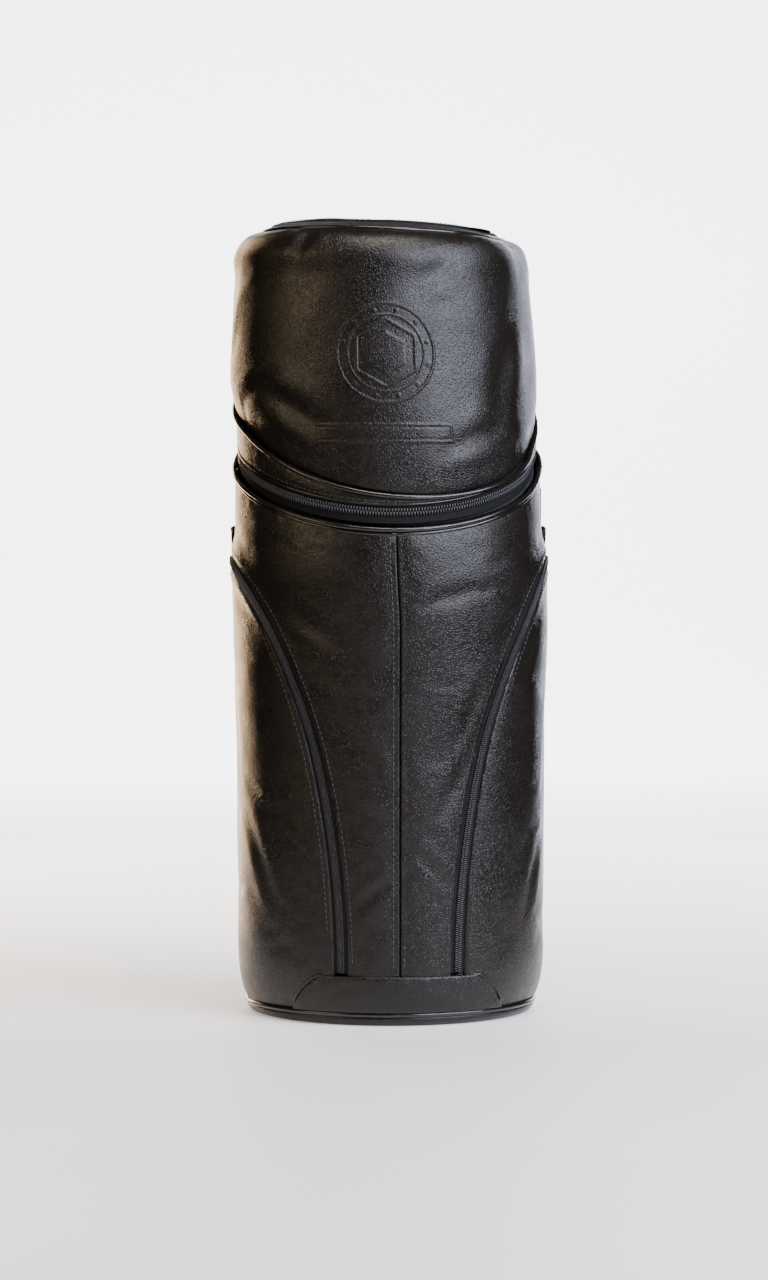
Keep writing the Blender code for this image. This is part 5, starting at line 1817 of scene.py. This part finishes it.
@dataclass(frozen=True)
class Fittings:
    """Handle, rings, tabs, sliders and pulls."""

    frame: dict  # the CAD frame as it was loaded

    def build(self) -> None:
        """Build the handle and dress the CAD nodes that stay."""
        self.build_handle()
        self.dress_nodes()

    @staticmethod
    def build_handle() -> None:
        """Rolled leather handle with a row of stitches along its inner side."""
        span, y, top, bend, low = 0.038, 0.1245, 0.4240, 0.022, 0.420 - 0.040 + 0.022
        right = [(span, y, top), (span, y, low)]
        for step in range(1, 9):
            turn = math.radians(11.25 * step)
            right.append((span - bend + bend * math.cos(turn), y, low - bend * math.sin(turn)))
        left = [(-x, y, z) for x, y, z in reversed(right)]
        points = np.array(right + left, float)
        run = Run(points, np.tile((0.0, 1.0, 0.0), (len(points), 1)))
        fine = run.at(np.linspace(0, run.length()[-1], 90))
        for _ in range(6):
            fine.points[1:-1] = (fine.points[:-2] + 2 * fine.points[1:-1] + fine.points[2:]) / 4
        middle = np.abs(np.linspace(-1, 1, 90))
        radius = 0.0055 * (1 - 0.16 * smooth_step(middle, 0.75, 1.0))
        radius = radius * (1 + 0.012 * waves(fine.points, 0.01, 91))
        handle = tube("handle_roll", fine, radius, Finish.BINDING, 24)
        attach(handle, "grab_handle")
        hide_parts("grab_handle")
        row = Run(fine.points + (0, 0.0053, 0), fine.out)
        stitches = Stitching(0.0030, 0.0012).sew("handle_stitches", row)
        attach(stitches, "grab_handle")

    def dress_nodes(self) -> None:
        """Give the CAD nodes that stay their finishes and softened edges."""
        chosen = {
            "metal": Finish.METAL,
            "foam": Finish.FOAM,
            "lining": Finish.SOLID_TAPE,
            "leather": Finish.SOLID_LEATHER,
            "piping": Finish.BINDING,
            "zip": Finish.SOLID_TAPE,
            "board": Finish.BOARD,
        }
        for part in self.frame["record"]["subparts"]:
            obj = self.frame["nodes"].get(part["node"])
            if obj is None:
                continue
            finish = chosen[part["material_slot"]]
            for slot in obj.material_slots:
                slot.link = "OBJECT"
                slot.material = finish.material()
            if part["material_slot"] in ("metal", "leather"):
                edge = obj.modifiers.new("Bevel", "BEVEL")
                edge.width, edge.segments, edge.limit_method = 0.0003, 2, "ANGLE"
                edge.angle_limit = math.radians(35)


# ---------------------------------------------------------------- camera, light and floor


@dataclass
class Studio:
    """Camera, soft lights and a pale sweep."""

    distance: float = 2.8
    azimuth: float = -3.5
    height: float = 0.379
    pitch: float = 1.96
    lens: float = 102.5
    aside: float = -0.005
    lights: tuple = field(
        default=(
            # name, azimuth, distance, height, width, tall, watts, colour
            ("soft_right", 46.0, 1.7, 1.13, 1.90, 1.30, 122.0, "#dfe3f4"),
            ("fill_left", -60.0, 2.2, 1.10, 1.2, 0.8, 20.0, "#ffe3b8"),
            ("edge_left", -150.0, 1.4, 0.55, 0.35, 1.3, 24.0, "#ffd6a8"),
            ("edge_right", 152.0, 1.5, 0.45, 0.30, 1.3, 9.0, "#e9ecff"),
            ("top", 10.0, 0.7, 1.9, 0.9, 0.7, 28.0, "#fff6ea"),
        )
    )

    def build(self) -> None:
        """Build camera, lights, world and floor."""
        self.build_camera()
        for light in self.lights:
            self.build_light(*light)
        self.build_floor()

    def build_camera(self) -> None:
        """Camera at the model's main viewing angle."""
        turn, pitch = math.radians(self.azimuth), math.radians(self.pitch)
        right = Vector((math.cos(turn), math.sin(turn), 0.0))
        place = Vector((math.sin(turn), -math.cos(turn), 0.0)) * self.distance + right * self.aside
        place.z = self.height
        data = bpy.data.cameras.new("camera")
        data.lens, data.sensor_width, data.clip_end = self.lens, 36.0, 50.0
        camera = bpy.data.objects.new("camera", data)
        camera.location = place
        camera.rotation_euler = (math.pi / 2 - pitch, 0.0, turn)
        bpy.context.scene.collection.objects.link(camera)
        bpy.context.scene.camera = camera

    @staticmethod
    def build_light(
        name: str,
        azimuth: float,
        distance: float,
        height: float,
        width: float,
        tall: float,
        watts: float,
        colour: str,
    ) -> None:
        """One rectangular soft light aimed at the bag's middle.

        Args:
            name: light name.
            azimuth: direction that it stands in.
            distance: distance from the bag's axis.
            height: height above the floor.
            width: its width.
            tall: its height.
            watts: its power.
            colour: sRGB colour.
        """
        data = bpy.data.lights.new(name, "AREA")
        data.shape, data.size, data.size_y = "RECTANGLE", width, tall
        data.energy, data.color = watts, linear(colour)[:3]
        lamp = bpy.data.objects.new(name, data)
        turn = math.radians(azimuth)
        lamp.location = (math.sin(turn) * distance, -math.cos(turn) * distance, height)
        lamp.rotation_euler = (Vector((0, 0, 0.32)) - lamp.location).to_track_quat("-Z", "Y").to_euler()
        bpy.context.scene.collection.objects.link(lamp)

    @staticmethod
    def build_floor() -> None:
        """Seamless white sweep, lit evenly, as a stage."""
        world = bpy.data.worlds.new("studio")
        world.use_nodes = True
        tree = world.node_tree
        tree.nodes.clear()
        back = add_node(tree, "ShaderNodeBackground", {"Color": linear("#8d877d"), "Strength": 0.18})
        add_node(tree, "ShaderNodeOutputWorld", {"Surface": back.outputs[0]})
        bpy.context.scene.world = world
        surface = Surface("studio_sweep", Coordinates.SOLID)
        dull = surface.noise_and_range(sized(surface.point, 0.4), 0.3, 0.7, 0.55, 0.62)
        depth = surface.add("ShaderNodeSeparateXYZ", {0: surface.point}, 1)
        glow = surface.add("ShaderNodeMapRange", ranged(depth, -0.2, 2.6, 0.12, 4.5), "Result")
        shine = {"Emission_Color": linear("#ffffff"), "Emission_Strength": glow}
        surface.finished(linear("#e2e2e2"), dull, **shine)
        profile = [(-1.4, 0.0), (0.4, 0.0), (2.7, 0.0)]
        turns = np.linspace(0.1, math.pi / 2, 12)
        profile += [(2.7 + 0.8 * math.sin(t), 0.8 - 0.8 * math.cos(t)) for t in turns]
        profile += [(3.5, 1.9)]
        points = [(side * (0.40 + 0.19 * max(y, 0.0)), y, z) for y, z in profile for side in (-1, 1)]
        faces = [(2 * i, 2 * i + 1, 2 * i + 3, 2 * i + 2) for i in range(len(profile) - 1)]
        mesh = bpy.data.meshes.new("sweep")
        mesh.from_pydata(points, [], faces)
        mesh.polygons.foreach_set("use_smooth", [True] * len(faces))
        mesh.materials.append(surface.material)
        sweep = bpy.data.objects.new("sweep", mesh)
        bpy.context.scene.collection.objects.link(sweep)


class Assembly(Protocol):
    """Anything that main can build."""

    def build(self) -> None:
        """Build and dress every piece of it."""


def build_and_report(assembly: Assembly) -> None:
    """Build one sub-assembly and report every piece that it made."""
    before = set(bpy.data.objects.keys())
    assembly.build()
    for name in sorted(set(bpy.data.objects.keys()) - before):
        log.info("%s: %s", type(assembly).__name__, name)


def main() -> None:
    """Build the whole dressed model on the frame."""
    logging.basicConfig(level=logging.INFO)
    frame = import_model()
    body = Body()
    build_and_report(body)
    pockets = (Pocket("right", 1, body.wall), Pocket("left", -1, body.wall))
    for assembly in (Lid(), LidZip(), TopFlap(), *pockets, Fittings(frame), Studio()):
        build_and_report(assembly)


if __name__ == "__main__":
    main()
